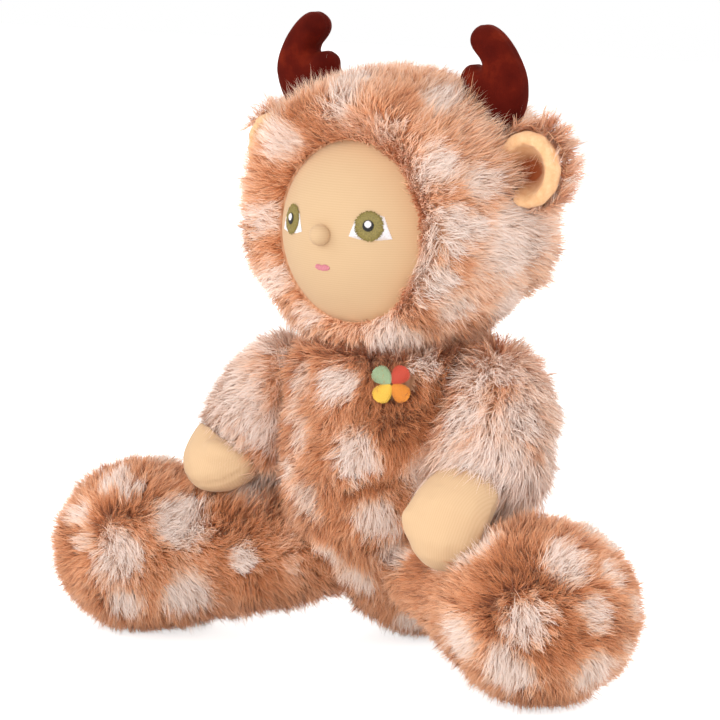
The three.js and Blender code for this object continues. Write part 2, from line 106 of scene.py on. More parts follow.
bpy.ops.mesh.primitive_plane_add(size=6)
floor = bpy.context.object
floor.name = "floor"
paper = bpy.data.materials.new("matt paper")
paper.use_nodes = True
paper.node_tree.nodes.clear()
sight_path = add(paper.node_tree, "ShaderNodeLightPath")
shown = add(
    paper.node_tree, "ShaderNodeMath", operation="MAXIMUM",
    links={0: sight_path.outputs["Is Camera Ray"], 1: sight_path.outputs["Is Glossy Ray"]},
)
glow = add(
    paper.node_tree, "ShaderNodeMath", operation="MULTIPLY",
    values={1: 0.7}, links={0: shown.outputs[0]},
)
matt = add(
    paper.node_tree, "ShaderNodeBsdfPrincipled",
    values={"Base Color": linear("#E8E6E4"), "Roughness": 0.9, "Emission Color": (1, 1, 1, 1)},
    links={"Emission Strength": glow.outputs[0]},
)
add(
    paper.node_tree, "ShaderNodeOutputMaterial",
    links={"Surface": matt.outputs["BSDF"]},
)
floor.data.materials.append(paper)

world = bpy.data.worlds.new("studio")
bpy.context.scene.world = world
world.use_nodes = True
world.node_tree.nodes.clear()
world_path = add(world.node_tree, "ShaderNodeLightPath")
world_seen = add(
    world.node_tree, "ShaderNodeMath", operation="MAXIMUM",
    links={0: world_path.outputs["Is Camera Ray"], 1: world_path.outputs["Is Glossy Ray"]},
)
world_level = add(
    world.node_tree, "ShaderNodeMapRange",
    values={"To Min": 0.66, "To Max": 1.0}, links={"Value": world_seen.outputs[0]},
)
background = add(
    world.node_tree, "ShaderNodeBackground",
    values={"Color": (1, 1, 1, 1)}, links={"Strength": world_level.outputs["Result"]},
)
add(world.node_tree, "ShaderNodeOutputWorld", links={"Surface": background.outputs[0]})

# Each soft box: azimuth, height in degrees and power. All stand on one circle and aim at the chest.
soft_boxes = [(14, 16, 14), (-45, 30, 8), (110, 24, 10), (205, 30, 9)]
box_distance = 1.6
box_size = 1.1
box_aim = Vector((0, -0.03, 0.14))
for azimuth, height, power in soft_boxes:
    turn, rise = math.radians(azimuth), math.radians(height)
    way = Vector((math.sin(turn) * math.cos(rise), -math.cos(turn) * math.cos(rise), math.sin(rise)))
    bpy.ops.object.light_add(type="AREA", location=box_aim + way * box_distance)
    lamp = bpy.context.object
    lamp.data.size = box_size
    lamp.data.energy = power
    lamp.rotation_euler = way.to_track_quat("Z", "Y").to_euler()
view = bpy.context.scene.view_settings
view.view_transform = "Standard"


# Inside: washed polyester wadding in the body, head and limbs, and a cotton pouch of pellets under
# it that weighs the seat down. Each is a soft lump pressed into its cover, and none of it shows.
def only(piece):
    bpy.ops.object.select_all(action="DESELECT")
    piece.select_set(True)
    bpy.context.view_layer.objects.active = piece


def modify(piece, kind, **settings):
    modifier = piece.modifiers.new(kind, kind)
    for key, value in settings.items():
        setattr(modifier, key, value)
    only(piece)
    bpy.ops.object.modifier_apply(modifier=modifier.name)


def fatten(piece, by):
    only(piece)
    bpy.ops.object.mode_set(mode="EDIT")
    bpy.ops.mesh.select_all(action="SELECT")
    bpy.ops.transform.shrink_fatten(value=by)
    bpy.ops.object.mode_set(mode="OBJECT")


def copy_of(node, name):
    """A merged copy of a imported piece's mesh, as a new piece."""
    piece = bpy.data.objects.new(name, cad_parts[node].data.copy())
    piece.data.materials.clear()
    bpy.context.scene.collection.objects.link(piece)
    only(piece)
    bpy.ops.object.mode_set(mode="EDIT")
    bpy.ops.mesh.select_all(action="SELECT")
    bpy.ops.mesh.remove_doubles(threshold=0.01 * mm)
    bpy.ops.object.mode_set(mode="OBJECT")
    return piece


def tree_of(nodes):
    """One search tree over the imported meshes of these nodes."""
    places, faces = [], []
    for node in nodes:
        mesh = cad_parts[node].data
        first = len(places)
        places += [v.co.copy() for v in mesh.vertices]
        faces += [[first + k for k in p.vertices] for p in mesh.polygons]
    return BVHTree.FromPolygons(places, faces)


def fill_up(piece, contents):
    """Takes away the inner wall, which lies against what fills the piece, and closes the rest."""
    inner = tree_of(contents)
    only(piece)
    bpy.ops.object.mode_set(mode="EDIT")
    bpy.ops.mesh.select_mode(type="FACE")
    bpy.ops.mesh.select_all(action="DESELECT")
    bpy.ops.object.mode_set(mode="OBJECT")
    for face in piece.data.polygons:
        face.select = inner.find_nearest(face.center)[3] < 0.8 * mm
    bpy.ops.object.mode_set(mode="EDIT")
    bpy.ops.mesh.delete(type="FACE")
    bpy.ops.mesh.select_mode(type="VERT")
    bpy.ops.mesh.select_all(action="DESELECT")
    bpy.ops.mesh.select_non_manifold()
    bpy.ops.mesh.extrude_edges_move()
    bpy.ops.mesh.merge(type="COLLAPSE")
    bpy.ops.mesh.select_all(action="SELECT")
    bpy.ops.mesh.normals_make_consistent(inside=False)
    bpy.ops.object.mode_set(mode="OBJECT")


def soft_form(node, name, body, inset, voxel, rounds, contents=()):
    """A packed soft piece as a fine smooth mesh, drawn in by the thickness that lies outside it."""
    piece = copy_of(node, name)
    if contents:
        fill_up(piece, contents)
    modify(piece, "REMESH", mode="VOXEL", voxel_size=voxel)
    modify(piece, "SMOOTH", factor=0.5, iterations=rounds)
    if inset:
        fatten(piece, -inset)
        modify(piece, "REMESH", mode="VOXEL", voxel_size=voxel)
        modify(piece, "SMOOTH", factor=0.5, iterations=rounds)
    only(piece)
    bpy.ops.object.shade_smooth()
    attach(piece, body)
    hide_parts(node)
    return piece


def finish(piece, material):
    piece.data.materials.clear()
    piece.data.materials.append(material)


# Polyester wadding: crimped white fibre in soft tangled lumps, quite matt.
wadding = bpy.data.materials.new("polyester wadding")
wadding.use_nodes = True
tree = wadding.node_tree
where = add(tree, "ShaderNodeTexCoord")
tangle = add(
    tree, "ShaderNodeTexNoise", values={"Scale": 1 / (4 * mm), "Detail": 6.0},
    links={"Vector": where.outputs["Object"]},
)
tangle_colour = add(
    tree, "ShaderNodeValToRGB", links={"Fac": tangle.outputs["Fac"]},
    stops=[(0.3, linear("#DCD8D2")), (0.7, linear("#F7F5F1"))],
)
fluff = add(
    tree, "ShaderNodeBump", values={"Strength": 0.7, "Distance": 1 * mm},
    links={"Height": tangle.outputs["Fac"]},
)
tree.links.new(tangle_colour.outputs[0], tree.nodes["Principled BSDF"].inputs["Base Color"])
tree.links.new(fluff.outputs[0], tree.nodes["Principled BSDF"].inputs["Normal"])
tree.nodes["Principled BSDF"].inputs["Roughness"].default_value = 0.95

# Plain-woven cotton: an undyed cloth with 0.6 mm threads over and under.
pouch_cloth = bpy.data.materials.new("unbleached cotton")
pouch_cloth.use_nodes = True
tree = pouch_cloth.node_tree
where = add(tree, "ShaderNodeTexCoord")
weave = add(
    tree, "ShaderNodeTexChecker",
    values={"Scale": 1 / (0.6 * mm), "Color1": linear("#E6DCC6"), "Color2": linear("#D8CBB0")},
    links={"Vector": where.outputs["Object"]},
)
tree.links.new(weave.outputs["Color"], tree.nodes["Principled BSDF"].inputs["Base Color"])
tree.nodes["Principled BSDF"].inputs["Roughness"].default_value = 0.9

pile_depth = 5 * mm
inner_voxel = 5 * mm
fillings = {
    "torso_filling": "torso",
    "head_filling": "head",
    "arm_filling_left": "arm_left",
    "arm_filling_right": "arm_right",
    "leg_filling_left": "leg_left",
    "leg_filling_right": "leg_right",
}
for node, body in fillings.items():
    depth = 1 * mm if body == "head" else pile_depth
    lump = soft_form(node, node + "_wadding", body, depth, inner_voxel, 4)
    finish(lump, wadding)
pouch = soft_form("pellet_pouch", "pellet_pouch_cloth", "torso", 2 * mm, 3 * mm, 4)
finish(pouch, pouch_cloth)


# The suit's spots: pale pink and cream patches dyed into the tan pile, printed as on a fawn.
# Those that the photograph shows are placed by its pixels, and the rest fall evenly on the far sides.
covers = {
    "torso_cover": "torso", "hood": "head", "ear_back_left": "head", "ear_back_right": "head",
    "sleeve_left": "arm_left", "sleeve_right": "arm_right", "leg_cover_left": "leg_left",
    "leg_cover_right": "leg_right", "foot_cover_left": "leg_left", "foot_cover_right": "leg_right",
}


outside = tree_of(list(covers) + ["head_skin", "hand_left", "hand_right"])


def seen(x, y):
    """The point of the suit that this pixel of the photograph shows, or nothing."""
    return outside.ray_cast(camera.location, sight(x, y))[0]


# Pixel across, pixel down and radius in pixels of each spot seen, then how pale it is.
spots_seen = [
    (354, 80, 14, 1), (341, 101, 15, 1), (375, 68, 11, 0.8), (392, 126, 11, 0.5), (440, 100, 15, 0.9),
    (498, 124, 15, 1), (506, 119, 11, 1), (520, 122, 9, 0.9), (436, 171, 17, 1), (482, 182, 13, 0.8), (450, 230, 19, 1), (474, 229, 12, 1),
    (431, 281, 17, 1), (518, 243, 31, 0.9), (458, 308, 13, 0.7), (506, 305, 17, 0.9), (281, 137, 17, 0.9),
    (264, 106, 9, 0.7), (262, 218, 13, 0.9), (273, 281, 13, 0.9), (312, 314, 12, 0.8), (395, 332, 18, 1),
    (331, 338, 10, 0.8), (552, 178, 12, 0.8), (556, 200, 14, 0.9), (566, 160, 10, 0.8), (565, 180, 11, 0.9), (549, 220, 15, 0.8),
    (300, 379, 12, 0.8), (336, 386, 16, 1), (427, 363, 14, 1), (300, 437, 12, 0.8), (293, 408, 12, 0.7), (289, 470, 12, 0.8), (356, 458, 18, 1),
    (307, 501, 14, 0.8), (376, 521, 17, 0.9), (328, 555, 13, 0.8), (356, 580, 14, 0.8),
    (231, 396, 27, 0.8), (277, 343, 15, 0.8), (256, 427, 13, 0.8), (210, 404, 14, 0.8), (267, 445, 11, 0.8),
    (483, 370, 18, 0.95), (462, 374, 11, 0.9), (506, 374, 12, 0.8), (462, 426, 15, 0.9), (524, 422, 16, 1),
    (496, 465, 22, 0.9), (527, 486, 18, 0.85), (425, 473, 15, 0.7), (546, 460, 13, 0.8),
    (114, 479, 13, 1), (131, 487, 9, 1), (77, 510, 12, 0.9), (184, 522, 21, 1), (116, 557, 20, 1),
    (81, 543, 8, 0.7), (124, 607, 14, 1), (190, 598, 19, 1), (69, 592, 11, 0.8), (248, 557, 12, 1), (635, 607, 8, 0.7), (627, 650, 10, 0.6), (545, 505, 12, 0.8),
    (258, 498, 15, 0.9), (295, 569, 9, 0.35), (56, 533, 8, 0.7),
    (413, 619, 14, 0.9), (394, 556, 13, 0.8), (456, 638, 18, 0.9), (566, 560, 16, 1), (527, 624, 17, 1),
    (600, 615, 12, 0.9), (616, 572, 11, 0.8), (507, 670, 19, 1), (596, 673, 16, 0.9), (484, 543, 13, 0.8), (466, 560, 10, 0.7),
    (450, 560, 11, 0.7),
]
# Darker places on the suit, pixel across, down and radius: partings where the pile parts and its darker foot shows,
# and painted shade on the inner side of the hood's rim round the face, under a cuff and in the gaps between parts.
partings_and_shade_seen = [
    (385, 402, 24), (505, 592, 24), (102, 520, 24), (445, 390, 14), (336, 126, 16), (404, 104, 12), (450, 196, 11),
    (420, 430, 20), (240, 530, 22), (420, 575, 16), (300, 120, 14), (455, 265, 10), (545, 640, 16),
    (300, 146, 8), (322, 131, 8), (351, 128, 8), (378, 137, 8), (398, 153, 8), (288, 168, 8), (274, 182, 10),
    (273, 247, 8), (486, 348, 14), (505, 401, 12), (473, 440, 9), (502, 444, 8), (532, 447, 9), (256, 371, 13), (269, 396, 12), (362, 490, 12), (376, 545, 10), (317, 103, 8), (422, 322, 10), (397, 520, 10), (262, 460, 10), (480, 688, 12), (512, 650, 10),
]
pixel = camera_distance * pixel_slope
spots = [(seen(x, y), size * pixel, pale) for x, y, size, pale in spots_seen if seen(x, y)]
partings_and_shade = [(seen(x, y), size * pixel) for x, y, size in partings_and_shade_seen if seen(x, y)]

rng = np.random.default_rng(11)
spot_spacing = 33 * mm
far_tries = 2600
cover_meshes = [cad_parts[node].data for node in covers]
weights = np.array([sum(p.area for p in mesh.polygons) for mesh in cover_meshes])
for k in rng.choice(len(cover_meshes), far_tries, p=weights / weights.sum()):
    mesh = cover_meshes[k]
    face = mesh.polygons[int(rng.integers(len(mesh.polygons)))]
    place, way = face.center.copy(), face.normal.copy()
    lit = place + way * mm
    if way.dot(camera_back) > 0 and not outside.ray_cast(lit, camera_back)[0]:
        continue
    if all((place - other).length > spot_spacing for other, _, _ in spots):
        spots.append((place, rng.uniform(7.5, 11) * mm, rng.uniform(0.7, 1)))
spot_places = np.array([tuple(s[0]) for s in spots])
spot_sizes = np.array([s[1] for s in spots])
spot_pales = np.array([s[2] for s in spots])
parting_and_shade_places = np.array([tuple(s[0]) for s in partings_and_shade])
parting_and_shade_sizes = np.array([s[1] for s in partings_and_shade])


def spread(places, centres, sizes):
    """How far inside each spot each place is, from 1 in its middle to 0 outside."""
    apart = np.linalg.norm(places[:, None] - centres[None], axis=2) / sizes
    rise = np.clip((1.95 - apart) / 1.15, 0, 1)
    return rise * rise * (3 - 2 * rise)


# The suit's long faux fur: crimped acrylic pile, 12 to 16 mm long, knitted into a backing.
# The fibres lie in small locks that follow the nap, tan with paler tips and a darker foot; the darker foot is partly
# the dye and partly painted shade from the pile above it.
# Each fibre is a bent blade, drawn 0.4 mm wide because the real 0.05 mm would not show.
fur = bpy.data.materials.new("acrylic faux fur pile")
fur.use_nodes = True
tree = fur.node_tree
fibre_map = add(tree, "ShaderNodeUVMap", uv_map="OFBake")
dye_shade_and_height = add(tree, "ShaderNodeSeparateXYZ", links={"Vector": fibre_map.outputs[0]})
paler_tips = add(
    tree, "ShaderNodeMath", operation="MULTIPLY_ADD", values={1: 0.42},
    links={0: dye_shade_and_height.outputs["Y"], 2: dye_shade_and_height.outputs["X"]},
)
dye_and_shade_place = add(
    tree, "ShaderNodeMath", operation="SUBTRACT", values={1: 0.22}, links={0: paler_tips.outputs[0]}
)
dye_and_shade = add(
    tree, "ShaderNodeValToRGB", links={"Fac": dye_and_shade_place.outputs[0]},
    stops=[
        (0.0, linear("#8E4C24")), (1.0, linear("#FFEFE6")), (0.22, linear("#CE7D47")),
        (0.42, linear("#F2B082")), (0.62, linear("#FFD6B8")), (0.8, linear("#FFE6D6")),
    ],
)
# Painted shade: the fibres are painted darker towards their foot, where the pile above would shade them, and pale
# fibres less so.
painted_foot_shade = add(
    tree, "ShaderNodeValToRGB", links={"Fac": dye_shade_and_height.outputs["Y"]},
    stops=[(0.0, linear("#DCC2B0")), (1.0, linear("#FFFFFF")), (0.5, linear("#F8EDE4"))],
)
painted_foot_shade_strength = add(
    tree, "ShaderNodeMapRange", values={"From Min": 0.4, "From Max": 0.9, "To Min": 1.0, "To Max": 0.15},
    links={"Value": dye_shade_and_height.outputs["X"]},
)
fibre_colour_with_shade = add(
    tree, "ShaderNodeMix", data_type="RGBA", blend_type="MULTIPLY",
    links={"Factor": painted_foot_shade_strength.outputs[0], "A": dye_and_shade.outputs["Color"], "B": painted_foot_shade.outputs["Color"]},
)
tree.links.new(fibre_colour_with_shade.outputs["Result"], tree.nodes["Principled BSDF"].inputs["Base Color"])
tree.nodes["Principled BSDF"].inputs["Roughness"].default_value = 0.7
tree.nodes["Principled BSDF"].inputs["Specular IOR Level"].default_value = 0.25
tree.nodes["Principled BSDF"].inputs["Sheen Weight"].default_value = 0.5
tree.nodes["Principled BSDF"].inputs["Sheen Roughness"].default_value = 0.7
tree.nodes["Principled BSDF"].inputs["Sheen Tint"].default_value = linear("#FFDCC4")

# The knitted backing under the pile: a tan jersey that shows only where the fibres part.
backing = bpy.data.materials.new("knitted fur backing")
backing.use_nodes = True
tree = backing.node_tree
where = add(tree, "ShaderNodeTexCoord")
knit = add(
    tree, "ShaderNodeTexWave", values={"Scale": 1 / (2 * math.pi * 1.2 * mm), "Distortion": 1.0},
    links={"Vector": where.outputs["Object"]},
)
knit_colour = add(
    tree, "ShaderNodeValToRGB", links={"Fac": knit.outputs["Fac"]},
    stops=[(0.0, linear("#C08A66")), (1.0, linear("#D8A682"))],
)
tree.links.new(knit_colour.outputs[0], tree.nodes["Principled BSDF"].inputs["Base Color"])
tree.nodes["Principled BSDF"].inputs["Roughness"].default_value = 0.95


def wander(places, size, seed):
    """Smooth random vectors, one for each place, that change over this size."""
    return np.array([tuple(noise.noise_vector(Vector(p) / size + Vector((seed, 0, 0)))) for p in places])


def unit(vectors):
    return vectors / np.maximum(np.linalg.norm(vectors, axis=1, keepdims=True), 1e-9)


def roots_on(skin, count, rng):
    """Evenly scattered points on a skin, with the skin's smooth normal at each."""
    mesh = skin.data
    mesh.calc_loop_triangles()
    corners = np.empty(len(mesh.loop_triangles) * 3, np.int32)
    mesh.loop_triangles.foreach_get("vertices", corners)
    places = np.empty(len(mesh.vertices) * 3)
    mesh.vertices.foreach_get("co", places)
    normals = np.empty(len(mesh.vertices) * 3)
    mesh.vertices.foreach_get("normal", normals)
    corners, places, normals = corners.reshape(-1, 3), places.reshape(-1, 3), normals.reshape(-1, 3)
    a, b, c = (places[corners[:, k]] for k in range(3))
    area = np.linalg.norm(np.cross(b - a, c - a), axis=1) / 2
    total = area.sum()
    count = int(count * total)
    marks = (np.arange(count) + rng.random(count)) * total / count
    face = np.minimum(np.searchsorted(np.cumsum(area), marks), len(area) - 1)
    u, v = rng.random(count), rng.random(count)
    over = u + v > 1
    u[over], v[over] = 1 - u[over], 1 - v[over]
    shares = np.stack([1 - u - v, u, v], axis=1)[:, :, None]
    root = (places[corners[face]] * shares).sum(axis=1)
    return root, unit((normals[corners[face]] * shares).sum(axis=1))


def blades(name, body, foot, middle, tip, width, facing, dye_and_shade):
    """One mesh of bent blades, each with its colour and height along it in the fibre map."""
    count = len(foot)
    along = unit(tip - foot)
    side = unit(np.cross(along, facing)) * width[:, None] / 2
    rows = np.stack([foot - side, foot + side, middle - side * 0.85, middle + side * 0.85, tip], axis=1)
    rows[..., 2] = np.maximum(rows[..., 2], 0.3 * mm)
    mesh = bpy.data.meshes.new(name)
    mesh.vertices.add(count * 5)
    mesh.vertices.foreach_set("co", rows.ravel())
    order = np.array([0, 1, 3, 2, 2, 3, 4])
    loops = (order + 5 * np.arange(count)[:, None]).astype(np.int32)
    mesh.loops.add(count * 7)
    mesh.loops.foreach_set("vertex_index", loops.ravel())
    mesh.polygons.add(count * 2)
    starts = (np.array([0, 4]) + 7 * np.arange(count)[:, None]).astype(np.int32)
    mesh.polygons.foreach_set("loop_start", starts.ravel())
    mesh.polygons.foreach_set("use_smooth", np.ones(count * 2, bool))
    layer = mesh.uv_layers.new(name="OFBake")
    across = 0.004
    high = np.array([0.02, 0.02, 0.5, 0.5, 0.98])[order]
    wide = np.array([-1, 1, -1, 1, 0])[order] * across
    spot = np.empty((count, 7, 2))
    spot[..., 0] = np.clip(dye_and_shade, across, 1 - across)[:, None] + wide
    spot[..., 1] = high
    layer.data.foreach_set("uv", spot.ravel())
    mesh.update(calc_edges=True)
    soft = unit(facing + unit(np.cross(side, along)) * 0.25)
    lit = mesh.attributes.new("custom_normal", "FLOAT_VECTOR", "POINT")
    lit.data.foreach_set("vector", np.repeat(soft, 5, axis=0).astype(np.float32).ravel())
    piece = bpy.data.objects.new(name, mesh)
    bpy.context.scene.collection.objects.link(piece)
    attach(piece, body)
    finish(piece, fur)
    return piece


most_blades = 65000
solid_nodes = list(covers) + ["hand_left", "hand_right", "ear_lining_left", "ear_lining_right"]
locks_per_area = 0.26 / mm ** 2
blades_per_lock = 13
lock_radius = 1.6 * mm


def grow_fur(name, node, skin, body, flow, length, base, stand=0.65, curl=0.9, head_clear=None, bare=None,
             push=None, trim=None, tufts=None, beside=(), over=None, banding_and_shade=0.15):
    """Fur on one skin: locks that follow the flow, shortened where another piece presses on them."""
    seed = sum(ord(c) for c in name)
    rng = np.random.default_rng(seed)
    root, normal = roots_on(skin, locks_per_area, rng)
    if bare is not None:
        kept = ~bare(root, normal)
        root, normal = root[kept], normal[kept]
    count = len(root)
    nap = flow(root, normal)
    nap -= normal * (nap * normal).sum(axis=1, keepdims=True)
    swirl = wander(root, 17 * mm, seed) * curl + rng.normal(0, 0.3, (count, 3))
    lean = unit(nap) * 0.75 + swirl * 0.75
    lean -= normal * (lean * normal).sum(axis=1, keepdims=True)
    rise = stand + wander(root, 12 * mm, seed + 5)[:, 0] * 0.25 + rng.normal(0, 0.1, count)
    reach = length * (1 + wander(root, 14 * mm, seed + 9)[:, 1] * 0.25 + rng.normal(0, 0.1, count))
    if trim is not None:
        reach *= trim(root, normal)
    if tufts is not None:
        near = spread(root, *tufts).max(axis=1)
        reach *= 1 + 0.7 * near
        rise += 0.7 * near
    way = normal * rise[:, None] + lean
    if push is not None:
        way += push(root, normal)
    way = unit(way)
    own = (node, *beside)
    others = tree_of([n for n in solid_nodes if n not in own])
    for k in range(count):
        hit = others.ray_cast(Vector(root[k]) + Vector(normal[k]) * 2 * mm, Vector(way[k]), reach[k])
        if hit[0] is not None:
            reach[k] = max(0.45 * reach[k], hit[3] + 4 * mm)

    # Every lock's blades start round its middle and draw together towards its tip.
    lock = np.repeat(np.arange(count), blades_per_lock)
    total = len(lock)
    shift = rng.normal(0, 1, (total, 3)) * lock_radius
    shift -= normal[lock] * (shift * normal[lock]).sum(axis=1, keepdims=True)
    gather = rng.uniform(0.0, 0.35, count)[lock][:, None]
    own = reach[lock] * rng.uniform(0.7, 1.1, total)
    foot = root[lock] + shift
    stray = rng.normal(0, 0.11, (total, 3)) * own[:, None]
    tip = foot + way[lock] * own[:, None] - shift * (1 - gather) + stray
    middle = (foot + tip) / 2 + normal[lock] * own[:, None] * 0.11
    middle += rng.normal(0, 0.035, (total, 3)) * own[:, None]
    if over is not None:
        laid, reached = over
        for k in np.nonzero(reached(foot))[0]:
            for row in (middle, tip):
                place, way_out = laid.find_nearest(Vector(row[k]))[:2]
                if (Vector(row[k]) - place).dot(way_out) < 1 * mm:
                    row[k] = place + way_out * 1 * mm
    if head_clear is not None:
        centre, radius = head_clear
        for row in (foot, middle, tip):
            away = row - centre
            far = np.linalg.norm(away, axis=1, keepdims=True)
            row[:] = centre + away * np.maximum(far, radius) / far

    # Dye and painted shade by where the outer part of the lock shows, so that a spot or a shaded place lies where it
    # is seen.
    shown = root + way * reach[:, None] * 0.62
    edge = wander(shown, 9 * mm, 40) * 4 * mm + wander(shown, 3 * mm, 50) * 1.5 * mm
    inside = spread(shown + edge, spot_places, spot_sizes) * spot_pales
    pale = inside.max(axis=1)
    # Painted shade: the partings table darkens the tone where the pile parts, and also on the hood's inner rim, under
    # a cuff and in gaps between parts.
    parted_and_shaded = spread(shown + edge, parting_and_shade_places, parting_and_shade_sizes * 1.2).max(axis=1)
    drift = wander(shown, 22 * mm, 60)[:, 0] * 0.16
    tone = base + drift - parted_and_shaded * banding_and_shade
    tone += (0.9 - tone) * pale
    dye_and_shade = tone[lock] + rng.normal(0, 0.055, total) + rng.normal(0, 0.035, count)[lock]
    width = rng.uniform(0.24, 0.36, total) * mm
    facing = normal[lock] + rng.normal(0, 0.3, (total, 3))
    parts = math.ceil(total / most_blades)
    for k in range(parts):
        part = slice(k * total // parts, (k + 1) * total // parts)
        blades(
            f"{name}_{k + 1}", body, foot[part], middle[part], tip[part], width[part],
            facing[part], dye_and_shade[part],
        )
    return total


# The torso cover: four panels of the suit's fur sewn into a bag, closed by the neck seam.
# Its pile is brushed down, and parts round the flower on the chest.
flower_place = sum(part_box("chest_flower"), Vector()) / 2
bare_reach = 6.5 * mm


def under_flower(places, normals):
    away = places - np.array(flower_place)
    return (np.hypot(away[:, 0], away[:, 2]) < bare_reach) & (normals[:, 1] < 0)


def down_the_torso(places, normals):
    flow = np.zeros_like(places)
    flow[:, 2] = -1
    flow[:, 0] = places[:, 0] * 4
    return flow


skin_voxel = 4 * mm
torso_skin = soft_form(
    "torso_cover", "torso_backing", "torso", pile_depth, skin_voxel, 6, ("torso_filling", "pellet_pouch")
)
finish(torso_skin, backing)
grow_fur("torso_fur", "torso_cover", torso_skin, "torso", down_the_torso, 10.5 * mm, 0.27, stand=1, curl=1.2,
         bare=under_flower)


# The head: a ball of peach cotton jersey pulled tight over wadding, tied at the neck.
# The hood's seam hides its edge, so only the face shows.
head_radius = 53.5 * mm
head_middle = Vector((0, -32, 206.5)) * mm
head_turn = math.radians(-4)
head_tilt = math.radians(0.5)


def on_face(azimuth, lift, across, up, height):
    """A point over the face, from its place in a flat patch that touches the head here."""
    low = head_radius + height
    place = Vector((across, -low, up)).normalized() * low
    turn = Matrix.Rotation(math.radians(azimuth), 3, "Z") @ Matrix.Rotation(math.radians(-lift), 3, "X")
    set_in_head = Matrix.Rotation(head_turn, 3, "Z") @ Matrix.Rotation(-head_tilt, 3, "Y")
    return head_middle + set_in_head @ turn @ place


# Brushed cotton jersey: peach, with fine courses 1.1 mm apart that run across, soft and matt.
def jersey(name, colour, shadow, turned):
    material = bpy.data.materials.new(name)
    material.use_nodes = True
    tree = material.node_tree
    where = add(tree, "ShaderNodeTexCoord")
    laid = add(
        tree, "ShaderNodeMapping", values={"Rotation": turned}, links={"Vector": where.outputs["Object"]}
    )
    uneven = add(
        tree, "ShaderNodeTexNoise", values={"Scale": 1 / (7 * mm), "Detail": 4.0},
        links={"Vector": where.outputs["Object"]},
    )
    courses = add(
        tree, "ShaderNodeTexWave", bands_direction="Z",
        values={
            "Scale": math.pi / (10 * 1.1 * mm), "Distortion": 0.9, "Detail": 2.0,
            "Detail Scale": 2.5,
        },
        links={"Vector": laid.outputs[0]},
    )
    fuzz = add(
        tree, "ShaderNodeTexNoise", values={"Scale": 1 / (0.5 * mm), "Detail": 3.0},
        links={"Vector": where.outputs["Object"]},
    )
    mixed = add(
        tree, "ShaderNodeMath", operation="MULTIPLY_ADD", values={1: 0.35},
        links={0: uneven.outputs["Fac"], 2: courses.outputs["Fac"]},
    )
    tone = add(
        tree, "ShaderNodeValToRGB", links={"Fac": mixed.outputs[0]},
        stops=[(0.0, linear(shadow)), (1.0, linear(colour))],
    )
    height = add(
        tree, "ShaderNodeMath", operation="MULTIPLY_ADD", values={1: 0.6},
        links={0: fuzz.outputs["Fac"], 2: courses.outputs["Fac"]},
    )
    knit = add(
        tree, "ShaderNodeBump", values={"Strength": 0.06, "Distance": 0.06 * mm},
        links={"Height": height.outputs[0]},
    )
    shader = tree.nodes["Principled BSDF"]
    tree.links.new(tone.outputs[0], shader.inputs["Base Color"])
    tree.links.new(knit.outputs[0], shader.inputs["Normal"])
    shader.inputs["Roughness"].default_value = 0.85
    shader.inputs["Specular IOR Level"].default_value = 0.2
    shader.inputs["Sheen Weight"].default_value = 0.1
    return material


face_jersey = jersey("brushed cotton jersey", "#CFAF89", "#CAA882", (0, 0, 0))
only(floor)
bpy.ops.mesh.primitive_uv_sphere_add(segments=128, ring_count=96, radius=head_radius, location=head_middle)
head = bpy.context.object
head.name = "head_jersey"
bpy.ops.object.transform_apply(location=True, rotation=True, scale=True)
neck_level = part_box("head_skin")[0].z
bpy.ops.object.mode_set(mode="EDIT")
bpy.ops.mesh.select_all(action="SELECT")
bpy.ops.mesh.bisect(
    plane_co=(0, 0, neck_level + 1 * mm), plane_no=(0, 0, -1), clear_outer=True, use_fill=True
)
bpy.ops.object.mode_set(mode="OBJECT")
bpy.ops.object.shade_smooth()
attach(head, "head")
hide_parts("head_skin")
finish(head, face_jersey)

# The nose: a wooden bead under the same jersey, tied in from behind.
nose_radius = 5 * mm
nose_lift = 2.5
nose_proud = 2.2 * mm
nose_middle = on_face(0, nose_lift, 0, 0, nose_proud)
bpy.ops.object.select_all(action="DESELECT")
bpy.ops.mesh.primitive_uv_sphere_add(segments=64, ring_count=48, radius=nose_radius, location=nose_middle)
nose = bpy.context.object
nose.name = "nose_bead"
bpy.ops.object.transform_apply(location=True, rotation=True, scale=True)
bpy.ops.object.shade_smooth()
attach(nose, "head")
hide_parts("nose")
finish(nose, face_jersey)


# The embroidery on the face: satin stitch in glossy polyester thread, laid on the jersey.
# Each thread is a low rounded cord; the irises are stitched like spokes, the rest in rows.
def thread_material(name, light, dark):
    material = bpy.data.materials.new(name)
    material.use_nodes = True
    tree = material.node_tree
    where = add(tree, "ShaderNodeTexCoord")
    strand = add(
        tree, "ShaderNodeTexNoise", values={"Scale": 1 / (0.45 * mm), "Detail": 2.0},
        links={"Vector": where.outputs["Object"]},
    )
    tone = add(
        tree, "ShaderNodeValToRGB", links={"Fac": strand.outputs["Fac"]},
        stops=[(0.3, linear(dark)), (0.7, linear(light))],
    )
    shader = tree.nodes["Principled BSDF"]
    tree.links.new(tone.outputs[0], shader.inputs["Base Color"])
    shader.inputs["Roughness"].default_value = 0.5
    shader.inputs["Specular IOR Level"].default_value = 0.4
    return material


